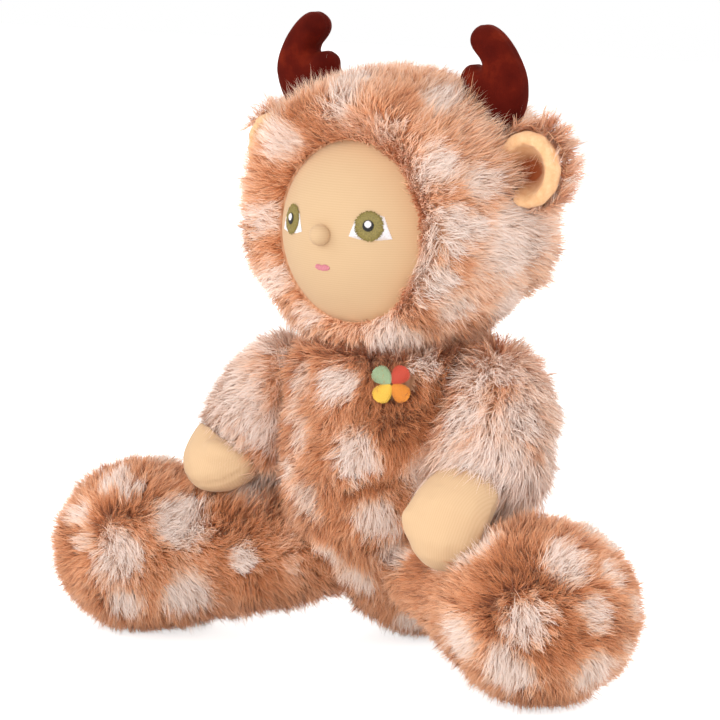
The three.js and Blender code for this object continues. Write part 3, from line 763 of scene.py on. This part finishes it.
def stitched(name, body, rows, on, width, height, material, node):
    """Threads laid from end to end of each row; on(across, up, height) puts a flat place on its ground."""
    places, faces = [], []
    steps = 6
    for (x0, y0), (x1, y1) in rows:
        length = math.hypot(x1 - x0, y1 - y0)
        if length < 0.2 * mm:
            continue
        side = (-(y1 - y0) / length * width / 2, (x1 - x0) / length * width / 2)
        first = len(places)
        for k in range(steps + 1):
            share = k / steps
            swell = math.sin(math.pi * min(max(share, 0.04), 0.96)) ** 0.35
            x, y = x0 + (x1 - x0) * share, y0 + (y1 - y0) * share
            for place, rise in ((-1, 0), (-0.55, 0.8), (0.55, 0.8), (1, 0)):
                lift = 0.1 * mm + height * rise * swell
                places.append(on(x + side[0] * place * swell, y + side[1] * place * swell, lift))
        for k in range(steps):
            for j in range(3):
                a = first + k * 4 + j
                faces.append((a, a + 4, a + 5, a + 1))
        faces.append((first, first + 1, first + 2, first + 3))
        last = first + steps * 4
        faces.append((last + 3, last + 2, last + 1, last))
    mesh = bpy.data.meshes.new(name)
    mesh.from_pydata([tuple(p) for p in places], [], faces)
    piece = bpy.data.objects.new(name, mesh)
    bpy.context.scene.collection.objects.link(piece)
    only(piece)
    bpy.ops.object.mode_set(mode="EDIT")
    bpy.ops.mesh.select_all(action="SELECT")
    bpy.ops.mesh.normals_make_consistent(inside=False)
    bpy.ops.object.mode_set(mode="OBJECT")
    bpy.ops.object.shade_smooth_by_angle(angle=math.radians(60))
    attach(piece, body)
    if node:
        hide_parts(node)
    finish(piece, material)
    return piece


def satin_rows(outline, angle, spacing, rng, ragged):
    """Rows of thread across a closed outline, at this angle from the upright."""
    turn = math.radians(angle)
    cos, sin = math.cos(turn), math.sin(turn)
    turned = [(x * cos + y * sin, y * cos - x * sin) for x, y in outline]
    low, high = min(p[0] for p in turned), max(p[0] for p in turned)
    rows = []
    count = int((high - low) / spacing)
    for k in range(count + 1):
        line = low + (k + 0.5) * (high - low) / (count + 1)
        cuts = []
        for (x0, y0), (x1, y1) in zip(turned, turned[1:] + turned[:1]):
            if (x0 - line) * (x1 - line) < 0:
                cuts.append(y0 + (y1 - y0) * (line - x0) / (x1 - x0))
        cuts.sort()
        for low_end, high_end in zip(cuts[::2], cuts[1::2]):
            ends = (low_end - rng.uniform(0, ragged), high_end + rng.uniform(0, ragged))
            rows.append(tuple((line * cos - y * sin, line * sin + y * cos) for y in ends))
    return rows


def oval(half_width, half_height, steps, across=0, up=0):
    turns = [2 * math.pi * k / steps for k in range(steps)]
    return [(across + half_width * math.cos(t), up + half_height * math.sin(t)) for t in turns]


white_thread = thread_material("white embroidery thread", "#FAF7F8", "#E2DCE0")
olive_thread = thread_material("olive embroidery thread", "#90803C", "#665820")
black_thread = thread_material("black embroidery thread", "#1B1614", "#0C0A09")
pink_thread = thread_material("pink embroidery thread", "#DA8F98", "#C2727E")

eye_spread = 26
eye_lift = 8
iris_radius = 7.2 * mm
iris_inner = 1.8 * mm
pupil_radius = 2.7 * mm
glint_radius = 1.6 * mm
# The white of an eye, from its inner corner along the lower lid: across and up, in millimetres.
eye_white = [(-10, -4.9), (-5, -6.2), (0, -6.6), (5, -6.5), (11.2, -5.9), (9.4, -1.5), (7.2, 4.6), (4, 5.5),
             (-4, 5.2), (-7, 2.6)]
rng = np.random.default_rng(21)
for side, name in ((1, "left"), (-1, "right")):
    def on_eye(across, up, height, side=side):
        return on_face(side * eye_spread, eye_lift, across, up, height)

    lids = [(side * x * mm, y * mm) for x, y in eye_white]
    rows = satin_rows(lids, 0, 0.42 * mm, rng, 0.1 * mm)
    stitched(f"eye_white_threads_{name}", "head", rows, on_eye, 0.5 * mm, 0.3 * mm, white_thread,
             f"eye_white_{name}")
    spokes = []
    for ring in range(2):
        count = 68
        for k in range(count):
            turn = 2 * math.pi * (k + ring / 2) / count + rng.normal(0, 0.012)
            far = iris_radius * rng.uniform(0.93, 1.05)
            near = iris_inner * rng.uniform(0.9, 1.4)
            ends = [(math.cos(turn) * r, math.sin(turn) * r) for r in (near, far)]
            spokes.append(tuple(ends))
    def on_iris(across, up, height, side=side):
        return on_face(side * eye_spread, eye_lift, across, up, height + 0.35 * mm)

    stitched(f"iris_threads_{name}", "head", spokes, on_iris, 0.62 * mm, 0.4 * mm, olive_thread,
             f"iris_{name}")
    def on_pupil(across, up, height, side=side):
        return on_face(side * eye_spread, eye_lift, across, up, height + 0.75 * mm)

    pupil = oval(pupil_radius, pupil_radius, 24, -0.3 * mm, 0.2 * mm)
    rows = satin_rows(pupil, 20, 0.4 * mm, rng, 0.12 * mm)
    stitched(f"pupil_threads_{name}", "head", rows, on_pupil, 0.5 * mm, 0.3 * mm, black_thread,
             f"pupil_{name}")
    def on_glint(across, up, height, side=side):
        return on_face(side * eye_spread, eye_lift, across, up, height + 1.05 * mm)

    glint = oval(glint_radius, glint_radius * 1.05, 20, -0.35 * mm, 0.9 * mm)
    rows = satin_rows(glint, 0, 0.38 * mm, rng, 0.08 * mm)
    stitched(f"eye_glint_threads_{name}", "head", rows, on_glint, 0.48 * mm, 0.3 * mm, white_thread,
             f"eye_glint_{name}")

mouth_side = -2
mouth_lift = -14.5


def on_mouth(across, up, height):
    return on_face(mouth_side, mouth_lift, across, up, height)


# Two lobes that meet in the middle make the little bow of the mouth.
lobe_shapes = [(2.5, 1.5, -1.9, 0), (2.5, 1.5, 2.0, 0.1), (1.6, 1.2, 0, -0.5)]
lobes = [oval(wide * mm, tall * mm, 20, out * mm, up * mm) for wide, tall, out, up in lobe_shapes]
mouth_rows = [row for lobe in lobes for row in satin_rows(lobe, 8, 0.4 * mm, rng, 0.12 * mm)]
stitched("lips_threads", "head", mouth_rows, on_mouth, 0.52 * mm, 0.4 * mm, pink_thread, "lips")


# The hood: the same fur cut in a round, gathered into a rolled edge round the face.
# It is sewn to the head all round, and its pile stands out from the face and falls at the back.
hood_depth = 5.5 * mm
hood_tuck = 6 * mm
opening_lift = 3
rim_angle = math.radians(53)
full_angle = math.radians(75)
ahead = (on_face(0, opening_lift, 0, 0, 0) - head_middle).normalized()
hood_skin = copy_of("hood", "hood_backing")
modify(hood_skin, "REMESH", mode="VOXEL", voxel_size=2 * mm)
modify(hood_skin, "SMOOTH", factor=0.5, iterations=4)
least = head_radius + 1.8 * mm
for vertex in hood_skin.data.vertices:
    away = vertex.co - head_middle
    past_rim = (away.angle(ahead) - rim_angle) / (full_angle - rim_angle)
    depth = hood_depth * min(max(past_rim, 0.1), 1)
    far = head_radius - hood_tuck if away.length < least else max(away.length - depth, least)
    vertex.co = head_middle + away.normalized() * far
modify(hood_skin, "REMESH", mode="VOXEL", voxel_size=2.5 * mm)
modify(hood_skin, "SMOOTH", factor=0.5, iterations=6)
only(hood_skin)
bpy.ops.object.shade_smooth()
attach(hood_skin, "head")
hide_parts("hood")
finish(hood_skin, backing)
ahead = np.array(ahead)


def from_the_axis(places):
    """The way from the middle line of the opening out to each place."""
    away = places - np.array(head_middle)
    return unit(away - ahead * (away * ahead).sum(axis=1, keepdims=True))


def over_the_rim(places, normals):
    """Out over the rolled edge, back round the head and down behind it."""
    radial = from_the_axis(places)
    out = (normals * radial).sum(axis=1, keepdims=True)
    fore = (normals * ahead).sum(axis=1, keepdims=True)
    flow = radial * fore - ahead * out
    flow[:, 2] -= 0.6 * np.clip(0.1 - fore[:, 0], 0, 1)
    return flow


def against_the_head(places, normals):
    return np.linalg.norm(places - np.array(head_middle), axis=1) < head_radius + 0.5 * mm


def off_the_face(places, normals):
    radial = from_the_axis(places)
    inward = np.clip(0.4 - (radial * normals).sum(axis=1, keepdims=True), 0, 1.2)
    return radial * inward * 0.55


def short_inside(places, normals):
    inward = np.clip(-(from_the_axis(places) * normals).sum(axis=1), 0, 1)
    return 1 - 0.35 * inward


tuft_shift = Vector((0, -7, 0)) * mm
antler_feet = [Vector(((low.x + high.x) / 2, (low.y + high.y) / 2, low.z)) for low, high in
               (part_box("antler_left"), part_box("antler_right"))]
ear_roots = [Vector(((low.x + high.x) / 2, (low.y + high.y) / 2, (low.z + high.z) / 2)) for low, high in
             (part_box("ear_back_left"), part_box("ear_back_right"))]
tufts_seen = [seen(x, y) for x, y in [(496, 114), (505, 121), (516, 123)]]
tufts_seen = [tuple(place) for place in tufts_seen if place]
fringe_seen = [seen(x, y) for x, y in [(541, 235), (539, 262), (531, 292), (515, 318)]]
fringe_seen = [tuple(place) for place in fringe_seen if place]
tuft_places = np.array([tuple(p + tuft_shift) for p in antler_feet] + tufts_seen + fringe_seen)
tuft_sizes = np.array([18 * mm] * len(antler_feet) + [8 * mm] * len(tufts_seen) + [11 * mm] * len(fringe_seen))
grow_fur("hood_fur", "hood", hood_skin, "head", over_the_rim, 10 * mm, 0.47, stand=1, curl=1.3,
         head_clear=(np.array(head_middle), head_radius + 1 * mm), bare=against_the_head,
         push=off_the_face, trim=short_inside, tufts=(tuft_places, tuft_sizes))


# The ears: a half round of fur behind and a peach velour lining in front, stuffed round the rim.
# They are sewn flat to the hood at their inner edge, so the lining folds into a hollow.
velour = bpy.data.materials.new("peach velour")
velour.use_nodes = True
tree = velour.node_tree
where = add(tree, "ShaderNodeTexCoord")
nap = add(
    tree, "ShaderNodeTexNoise", values={"Scale": 1 / (3 * mm), "Detail": 6.0, "Roughness": 0.65},
    links={"Vector": where.outputs["Object"]},
)
nap_colour = add(
    tree, "ShaderNodeValToRGB", links={"Fac": nap.outputs["Fac"]},
    stops=[(0.3, linear("#E2AB78")), (0.7, linear("#F0C596"))],
)
# Painted shade: the fold at the bottom of the ear lies in shadow, and the velour there is painted a deep brown for it.
hollow = add(tree, "ShaderNodeAttribute")
hollow.attribute_name = "hollow"
fold_shade_colour = add(
    tree, "ShaderNodeMix", data_type="RGBA", blend_type="MULTIPLY", values={"B": linear("#9C6038")},
    links={"Factor": hollow.outputs["Fac"], "A": nap_colour.outputs["Color"]},
)
nap_rise = add(
    tree, "ShaderNodeBump", values={"Strength": 0.5, "Distance": 0.3 * mm},
    links={"Height": nap.outputs["Fac"]},
)
shader = tree.nodes["Principled BSDF"]
tree.links.new(fold_shade_colour.outputs["Result"], shader.inputs["Base Color"])
tree.links.new(nap_rise.outputs[0], shader.inputs["Normal"])
shader.inputs["Roughness"].default_value = 0.9
shader.inputs["Sheen Weight"].default_value = 0.35
shader.inputs["Sheen Tint"].default_value = linear("#FFE0C0")


def from_the_head(places, normals):
    return places - np.array(head_middle)


growth = 10
blown_frames = 20


def puff(piece, held, cap):
    """The sewn cover filled with wadding: cloth blown up with its seams held, at ten times its size."""
    before = [v.co.copy() for v in piece.data.vertices]
    seam = piece.vertex_groups.new(name="seam")
    seam.add([v.index for v in piece.data.vertices if held(v)], 1.0, "REPLACE")
    piece.data.transform(Matrix.Scale(growth, 4))
    cloth = piece.modifiers.new("Cloth", "CLOTH")
    cloth.settings.vertex_group_mass = "seam"
    cloth.settings.use_pressure = True
    cloth.settings.uniform_pressure_force = 4
    cloth.settings.effector_weights.gravity = 0
    cloth.collision_settings.use_collision = False
    for k in range(1, blown_frames + 1):
        bpy.context.scene.frame_set(k)
    modify_last(piece)
    bpy.context.scene.frame_set(1)
    piece.vertex_groups.remove(piece.vertex_groups["seam"])
    for vertex, old in zip(piece.data.vertices, before):
        move = vertex.co / growth - old
        vertex.co = old + move * min(1, cap / max(move.length, 0.001 * mm))
    for vertex in [v for v in piece.data.vertices if held(v)]:
        vertex.co -= vertex.normal * seam_dip
    modify(piece, "SUBSURF", levels=1, render_levels=1)


def modify_last(piece):
    only(piece)
    bpy.ops.object.modifier_apply(modifier=piece.modifiers[-1].name)


seam_dip = 0.35 * mm
ear_turn = 12
hollow_depth = 4.5 * mm
rim_rise = 2 * mm


for side, sign in (("left", 1), ("right", -1)):
    ear_angle = math.radians(sign * ear_turn) + head_turn
    ear_front = np.array((math.sin(ear_angle), -math.cos(ear_angle), 0))

    low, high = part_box(f"ear_lining_{side}")
    middle, half_height = (low + high) / 2, (high.z - low.z) / 2

    def over_the_lining(places, normals, front=ear_front, middle=np.array(middle), reach=half_height * 0.75):
        away = places - middle
        away -= front * (away * front).sum(axis=1, keepdims=True)
        turned = (normals * front).sum(axis=1)
        return (turned > 0.7) | (turned > -0.2) & (np.linalg.norm(away, axis=1) < reach)

    def to_the_back(places, normals, front=ear_front):
        return np.tile(-front * 0.5, (len(places), 1))

    ear_skin = soft_form(f"ear_back_{side}", f"ear_backing_{side}", "head", 1.6 * mm, 1.2 * mm, 4)
    finish(ear_skin, backing)
    grow_fur(f"ear_fur_{side}", f"ear_back_{side}", ear_skin, "head", from_the_head, 12 * mm, 0.56,
             bare=over_the_lining, push=to_the_back)
    lining = soft_form(f"ear_lining_{side}", f"ear_velour_{side}", "head", 0, 1.2 * mm, 6)
    to_the_head = Vector((-sign * math.cos(ear_angle), -sign * math.sin(ear_angle), -0.4))
    deepest = middle + to_the_head * half_height * 0.15

    def in_the_hollow(place, deepest=deepest, front=Vector(ear_front), reach=half_height * 0.5):
        away = place - deepest
        away -= front * away.dot(front)
        return min(max(1.5 - away.length / reach, 0), 1)

    for vertex in lining.data.vertices:
        inside = in_the_hollow(vertex.co)
        dip = hollow_depth * inside - rim_rise * (1 - inside)
        vertex.co -= Vector(ear_front) * dip * max(vertex.normal.dot(Vector(ear_front)), 0)
    puff(lining, lambda v, front=Vector(ear_front): v.normal.dot(front) < 0.05, 1.2 * mm)
    # Painted shade: how deep in the fold each point lies, which darkens the velour there.
    depth = lining.data.attributes.new("hollow", "FLOAT", "POINT")
    for vertex in lining.data.vertices:
        depth.data[vertex.index].value = in_the_hollow(vertex.co) ** 2
    finish(lining, velour)


# The antlers: two cut-outs of rust velvet sewn round their outline, turned and stuffed.
# Painted sheen: the patches where the nap catches the light are painted into the base colour as lighter rust blotches,
# spread at random.
velvet = bpy.data.materials.new("rust velvet")
velvet.use_nodes = True
tree = velvet.node_tree
where = add(tree, "ShaderNodeTexCoord")
# Painted sheen: random blotches about 14 mm across, from dark to lighter rust.
sheen_patches = add(
    tree, "ShaderNodeTexNoise", values={"Scale": 1 / (14 * mm), "Detail": 4.0},
    links={"Vector": where.outputs["Object"]},
)
sheen_patch_colour = add(
    tree, "ShaderNodeValToRGB", links={"Fac": sheen_patches.outputs["Fac"]},
    stops=[(0.3, linear("#420A05")), (0.8, linear("#7C2611")), (0.55, linear("#551208"))],
)
tuft = add(
    tree, "ShaderNodeTexNoise", values={"Scale": 1 / (0.8 * mm), "Detail": 3.0},
    links={"Vector": where.outputs["Object"]},
)
tuft_rise = add(
    tree, "ShaderNodeBump", values={"Strength": 0.35, "Distance": 0.3 * mm},
    links={"Height": tuft.outputs["Fac"]},
)
shader = tree.nodes["Principled BSDF"]
tree.links.new(sheen_patch_colour.outputs[0], shader.inputs["Base Color"])
tree.links.new(tuft_rise.outputs[0], shader.inputs["Normal"])
shader.inputs["Roughness"].default_value = 0.85
shader.inputs["Specular IOR Level"].default_value = 0.06
shader.inputs["Sheen Weight"].default_value = 0.2
shader.inputs["Sheen Roughness"].default_value = 0.4
shader.inputs["Sheen Tint"].default_value = linear("#C04A28")
antler_edge = 6 * mm
antler_shift = {
    "left": Vector((-1.2, -0.9, 0)) * mm,
    "right": Vector((-1.6, -1.1, 2.5)) * mm,
}
antler_front = Vector((math.sin(head_turn), -math.cos(head_turn), 0))
for side in ("left", "right"):
    antler = soft_form(f"antler_{side}", f"antler_velvet_{side}", "head", 0, 1.1 * mm, 4)
    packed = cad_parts[f"antler_{side}"].data
    walls = [p.vertices for p in packed.polygons if abs(p.normal.dot(antler_front)) < 0.3]
    outline = BVHTree.FromPolygons([v.co for v in packed.vertices], walls)
    low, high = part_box(f"antler_{side}")
    for vertex in antler.data.vertices:
        forward = (vertex.co - (low + high) / 2).dot(antler_front)
        flat = vertex.co - antler_front * forward
        inward = min(outline.find_nearest(flat)[3] / antler_edge, 1)
        vertex.co = flat + antler_front * forward * max(math.sqrt(1 - (1 - inward) ** 2), 0.45)
    modify(antler, "REMESH", mode="VOXEL", voxel_size=1.1 * mm)
    modify(antler, "SMOOTH", factor=0.5, iterations=3)
    bpy.ops.object.shade_smooth()
    fatten(antler, 0.8 * mm)
    for vertex in antler.data.vertices:
        vertex.co += antler_shift[side] * min(max((vertex.co.z - low.z) / (20 * mm), 0), 1)
    puff(antler, lambda v: abs(v.normal.dot(antler_front)) < 0.2, 1.5 * mm)
    finish(antler, velvet)


# The sleeves: tubes of fur, full at the elbow and gathered at the cuff, jointed at the shoulder.
# The hands: peach rib jersey mitts with a thumb, stuffed and sewn into the cuffs.
hand_jersey = jersey("cotton rib jersey", "#D8B58E", "#D3AE86", (0, math.radians(80), 0))
arms = {
    "left": {
        "sleeve": Vector((0.10, -0.15, -0.6)), "cuff": Vector((64, -66, 88)) * mm,
        "palm": Vector((66, -92, 85)) * mm, "tips": Vector((63, -98, 63)) * mm,
        "thumb": Vector((50, -103, 87)) * mm, "thumb_way": Vector((-0.82, -0.57, 0.05)),
        "seam_way": Vector((-0.89, -0.42, -0.19)), "lean": Vector((4.5, 3.1, -4)) * mm, "cuff_fall": 0.8, "wrist": 0.8,
        "widen": 0.22,
    },
    "right": {
        "sleeve": Vector((-0.35, -0.15, -0.6)), "cuff": Vector((-80, -58, 92)) * mm,
        "palm": Vector((-80, -64, 94)) * mm, "tips": Vector((-79, -86, 80)) * mm,
        "thumb": Vector((-66, -80, 92)) * mm, "thumb_way": Vector((0.9, -0.1, 0.1)),
        "seam_way": Vector((0.89, -0.42, -0.19)), "lean": Vector((2, 1.4, 0)) * mm, "cuff_fall": -0.1, "wrist": 1,
        "widen": 0.4,
    },
}
cuff_reach = 34 * mm
outer_side = Vector((0.82, 0.57, 0))
thumb_reach = 12 * mm
thumb_rise = 3.5 * mm
stitch_spacing = 2.2 * mm
stitch_half = 0.75 * mm
seam_thread = thread_material("tan sewing thread", "#C79A68", "#A87C4C")
for side in ("left", "right"):
    arm = f"arm_{side}"
    shape = arms[side]
    hand_way = (shape["tips"] - shape["cuff"]).normalized()
    hand_length = (shape["tips"] - shape["cuff"]).length
    sleeve = soft_form(
        f"sleeve_{side}", f"sleeve_backing_{side}", arm, pile_depth, skin_voxel, 6, (f"arm_filling_{side}",)
    )
    finish(sleeve, backing)

    def near_the_cuff(places, cuff=np.array(shape["cuff"])):
        return np.clip(1.4 - np.linalg.norm(places - cuff, axis=1) / cuff_reach, 0, 1)

    def down_the_sleeve(places, normals, way=np.array(shape["sleeve"]), over=np.array(hand_way)):
        near = near_the_cuff(places)[:, None]
        return way * (1 - near) + over * near

    def over_the_hand(places, normals, over=np.array(hand_way), fall=shape["cuff_fall"]):
        return over * max(fall, 0) * near_the_cuff(places)[:, None]

    def long_at_the_cuff(places, normals, fall=shape["cuff_fall"]):
        return 1 + fall * near_the_cuff(places)

    def at_the_cuff(places):
        return near_the_cuff(places) > 0.3


    hand = soft_form(
        f"hand_{side}", f"hand_jersey_{side}", arm, 0, 1.4 * mm, 10, (f"arm_filling_{side}",)
    )
    for vertex in hand.data.vertices:
        near = max(1 - (vertex.co - shape["thumb"]).length / thumb_reach, 0)
        vertex.co += shape["thumb_way"].normalized() * thumb_rise * near * near * (3 - 2 * near)
        along = (vertex.co - shape["cuff"]).dot(hand_way) / hand_length
        drawn_in = (1 - shape["wrist"]) * min(max((0.4 - along) / 0.7, 0), 1)
        on_axis = shape["cuff"] + hand_way * along * hand_length
        off_axis = max((vertex.co - on_axis).dot(outer_side), 0)
        vertex.co += (on_axis - vertex.co) * drawn_in + shape["lean"] * min(max(along, 0), 1)
        vertex.co += outer_side * off_axis * shape["widen"]
    axis = (shape["tips"] - shape["palm"]).normalized()
    across_seam = axis.cross(shape["seam_way"]).normalized()
    puff(hand, lambda v, way=across_seam: abs(v.normal.dot(way)) < 0.12, 1.2 * mm)
    finish(hand, hand_jersey)
    skin_tree = BVHTree.FromPolygons([v.co for v in hand.data.vertices], [p.vertices for p in hand.data.polygons])
    grow_fur(f"sleeve_fur_{side}", f"sleeve_{side}", sleeve, arm, down_the_sleeve, 12 * mm, 0.76,
             stand=0.85, curl=0.6, banding_and_shade=0.34, push=over_the_hand, trim=long_at_the_cuff, beside=(f"hand_{side}",),
             over=(skin_tree, at_the_cuff))

    # The mitt's side seam: short tan stitches across it, from the cuff to the tips.
    seam_way = shape["seam_way"] - axis * shape["seam_way"].dot(axis)
    length = (shape["tips"] - shape["palm"]).length
    rows = []
    for k in range(int(length / stitch_spacing) + 3):
        start = shape["palm"] + axis * (k - 2) * stitch_spacing
        hit = skin_tree.ray_cast(start + seam_way.normalized() * 60 * mm, -seam_way.normalized())
        rows.append((hit[0], hit[1]))
    stitches = [(place, way) for place, way in rows if place is not None]

    def on_seam(along, up, height, stitches=stitches, way=across_seam, tree=skin_tree):
        place, out = stitches[min(int(up / (stitch_half * 4) + 0.5), len(stitches) - 1)]
        hit = tree.find_nearest(place + way * along)
        return hit[0] + hit[1] * height

    ends = [((-stitch_half, k * stitch_half * 4), (stitch_half, k * stitch_half * 4)) for k in range(len(stitches))]
    stitched(f"hand_stitches_{side}", arm, ends, on_seam, 0.45 * mm, 0.2 * mm, seam_thread, None)


# The legs and feet: fur tubes that swell into round stuffed feet, jointed at the hip.
# Each foot's pile turns round a crown on its sole and runs back along the leg.
crowns_seen = {"left": (512, 592), "right": (104, 520)}
lap_tufts = {
    "left": None,
    "right": (np.array([tuple(seen(x, y)) for x, y in ((248, 500), (268, 500))]), np.array([9 * mm] * 2)),
}
seam_overlap = 1 * mm
seam_back = 30 * mm
for side in ("left", "right"):
    leg = f"leg_{side}"
    crown = np.array(seen(*crowns_seen[side]))

    def from_the_crown(places, normals, crown=crown):
        return places - crown

    skin = copy_of(f"leg_cover_{side}", f"leg_backing_{side}")
    foot_skin = copy_of(f"foot_cover_{side}", f"foot_backing_{side}")
    for piece in (skin, foot_skin):
        fill_up(piece, (f"leg_filling_{side}",))
        fatten(piece, seam_overlap)
    foot_skin.select_set(True)
    skin.select_set(True)
    bpy.context.view_layer.objects.active = skin
    bpy.ops.object.join()
    modify(skin, "REMESH", mode="VOXEL", voxel_size=skin_voxel)
    modify(skin, "SMOOTH", factor=0.5, iterations=8)
    fatten(skin, -pile_depth - seam_overlap)
    modify(skin, "REMESH", mode="VOXEL", voxel_size=skin_voxel)
    modify(skin, "SMOOTH", factor=0.5, iterations=6)
    bpy.ops.object.shade_smooth()
    grow_fur(f"leg_fur_{side}", f"leg_cover_{side}", skin, leg, from_the_crown, 10 * mm, 0.3,
             stand=1.15, curl=1.6, beside=(f"foot_cover_{side}",),
             tufts=lap_tufts[side])
    low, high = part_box(f"leg_cover_{side}")
    foot_low, foot_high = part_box(f"foot_cover_{side}")
    across = (foot_low + foot_high) / 2 - (low + high) / 2
    across.z = 0
    seam = (foot_low + foot_high) / 2 - across.normalized() * seam_back
    halves = [(skin, f"leg_cover_{side}", {"clear_outer": True})]
    other = skin.copy()
    other.data = skin.data.copy()
    other.name = f"foot_backing_{side}"
    bpy.context.scene.collection.objects.link(other)
    halves.append((other, f"foot_cover_{side}", {"clear_inner": True}))
    for piece, node, cleared in halves:
        only(piece)
        bpy.ops.object.mode_set(mode="EDIT")
        bpy.ops.mesh.select_all(action="SELECT")
        bpy.ops.mesh.bisect(plane_co=seam, plane_no=across, use_fill=True, **cleared)
        bpy.ops.object.mode_set(mode="OBJECT")
        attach(piece, leg)
        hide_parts(node)
        finish(piece, backing)


# The flower on the chest: four satin-stitched petals, worked through the pile.
petal_colours = [("red", "#D9573F", "#B8402C"), ("orange", "#F0A03C", "#D8822A"),
                 ("yellow", "#F4CB4E", "#DDAE35"), ("sage", "#A9BC94", "#8CA07A")]
petal_length = 8 * mm
petal_half_width = 3.6 * mm
front = outside.ray_cast(Vector((flower_place.x, -0.5, flower_place.z)), Vector((0, 1, 0)))
facing = Vector(front[1])
facing = facing if facing.y < 0 else -facing
flower_right = Vector((0, 0, 1)).cross(facing).normalized()
flower_up = facing.cross(flower_right)
if flower_up.z < 0:
    flower_up, flower_right = -flower_up, -flower_right
rng = np.random.default_rng(31)


def on_chest(across, up, height):
    place = flower_place + flower_right * across + flower_up * up
    hit = outside.ray_cast(place + facing * 40 * mm, -facing)
    return hit[0] + facing * (height + 2.5 * mm)


for k, (name, light, dark) in enumerate(petal_colours):
    turn = math.pi / 4 + k * math.pi / 2
    outline = [
        (petal_half_width * 1.15 * math.sin(t) * (1 - 0.3 * math.cos(t)),
         0.6 * mm + (petal_length + petal_half_width * 0.5) * (0.5 - 0.5 * math.cos(t)))
        for t in [2 * math.pi * j / 28 for j in range(28)]
    ]
    turned = [(x * math.cos(turn) + y * math.sin(turn), y * math.cos(turn) - x * math.sin(turn))
              for x, y in outline]
    rows = satin_rows(turned, 90 - math.degrees(turn), 0.55 * mm, rng, 0.15 * mm)
    stitched(f"flower_petal_{name}", "torso", rows, on_chest, 0.7 * mm, 0.8 * mm,
             thread_material(f"{name} embroidery thread", light, dark), "chest_flower")
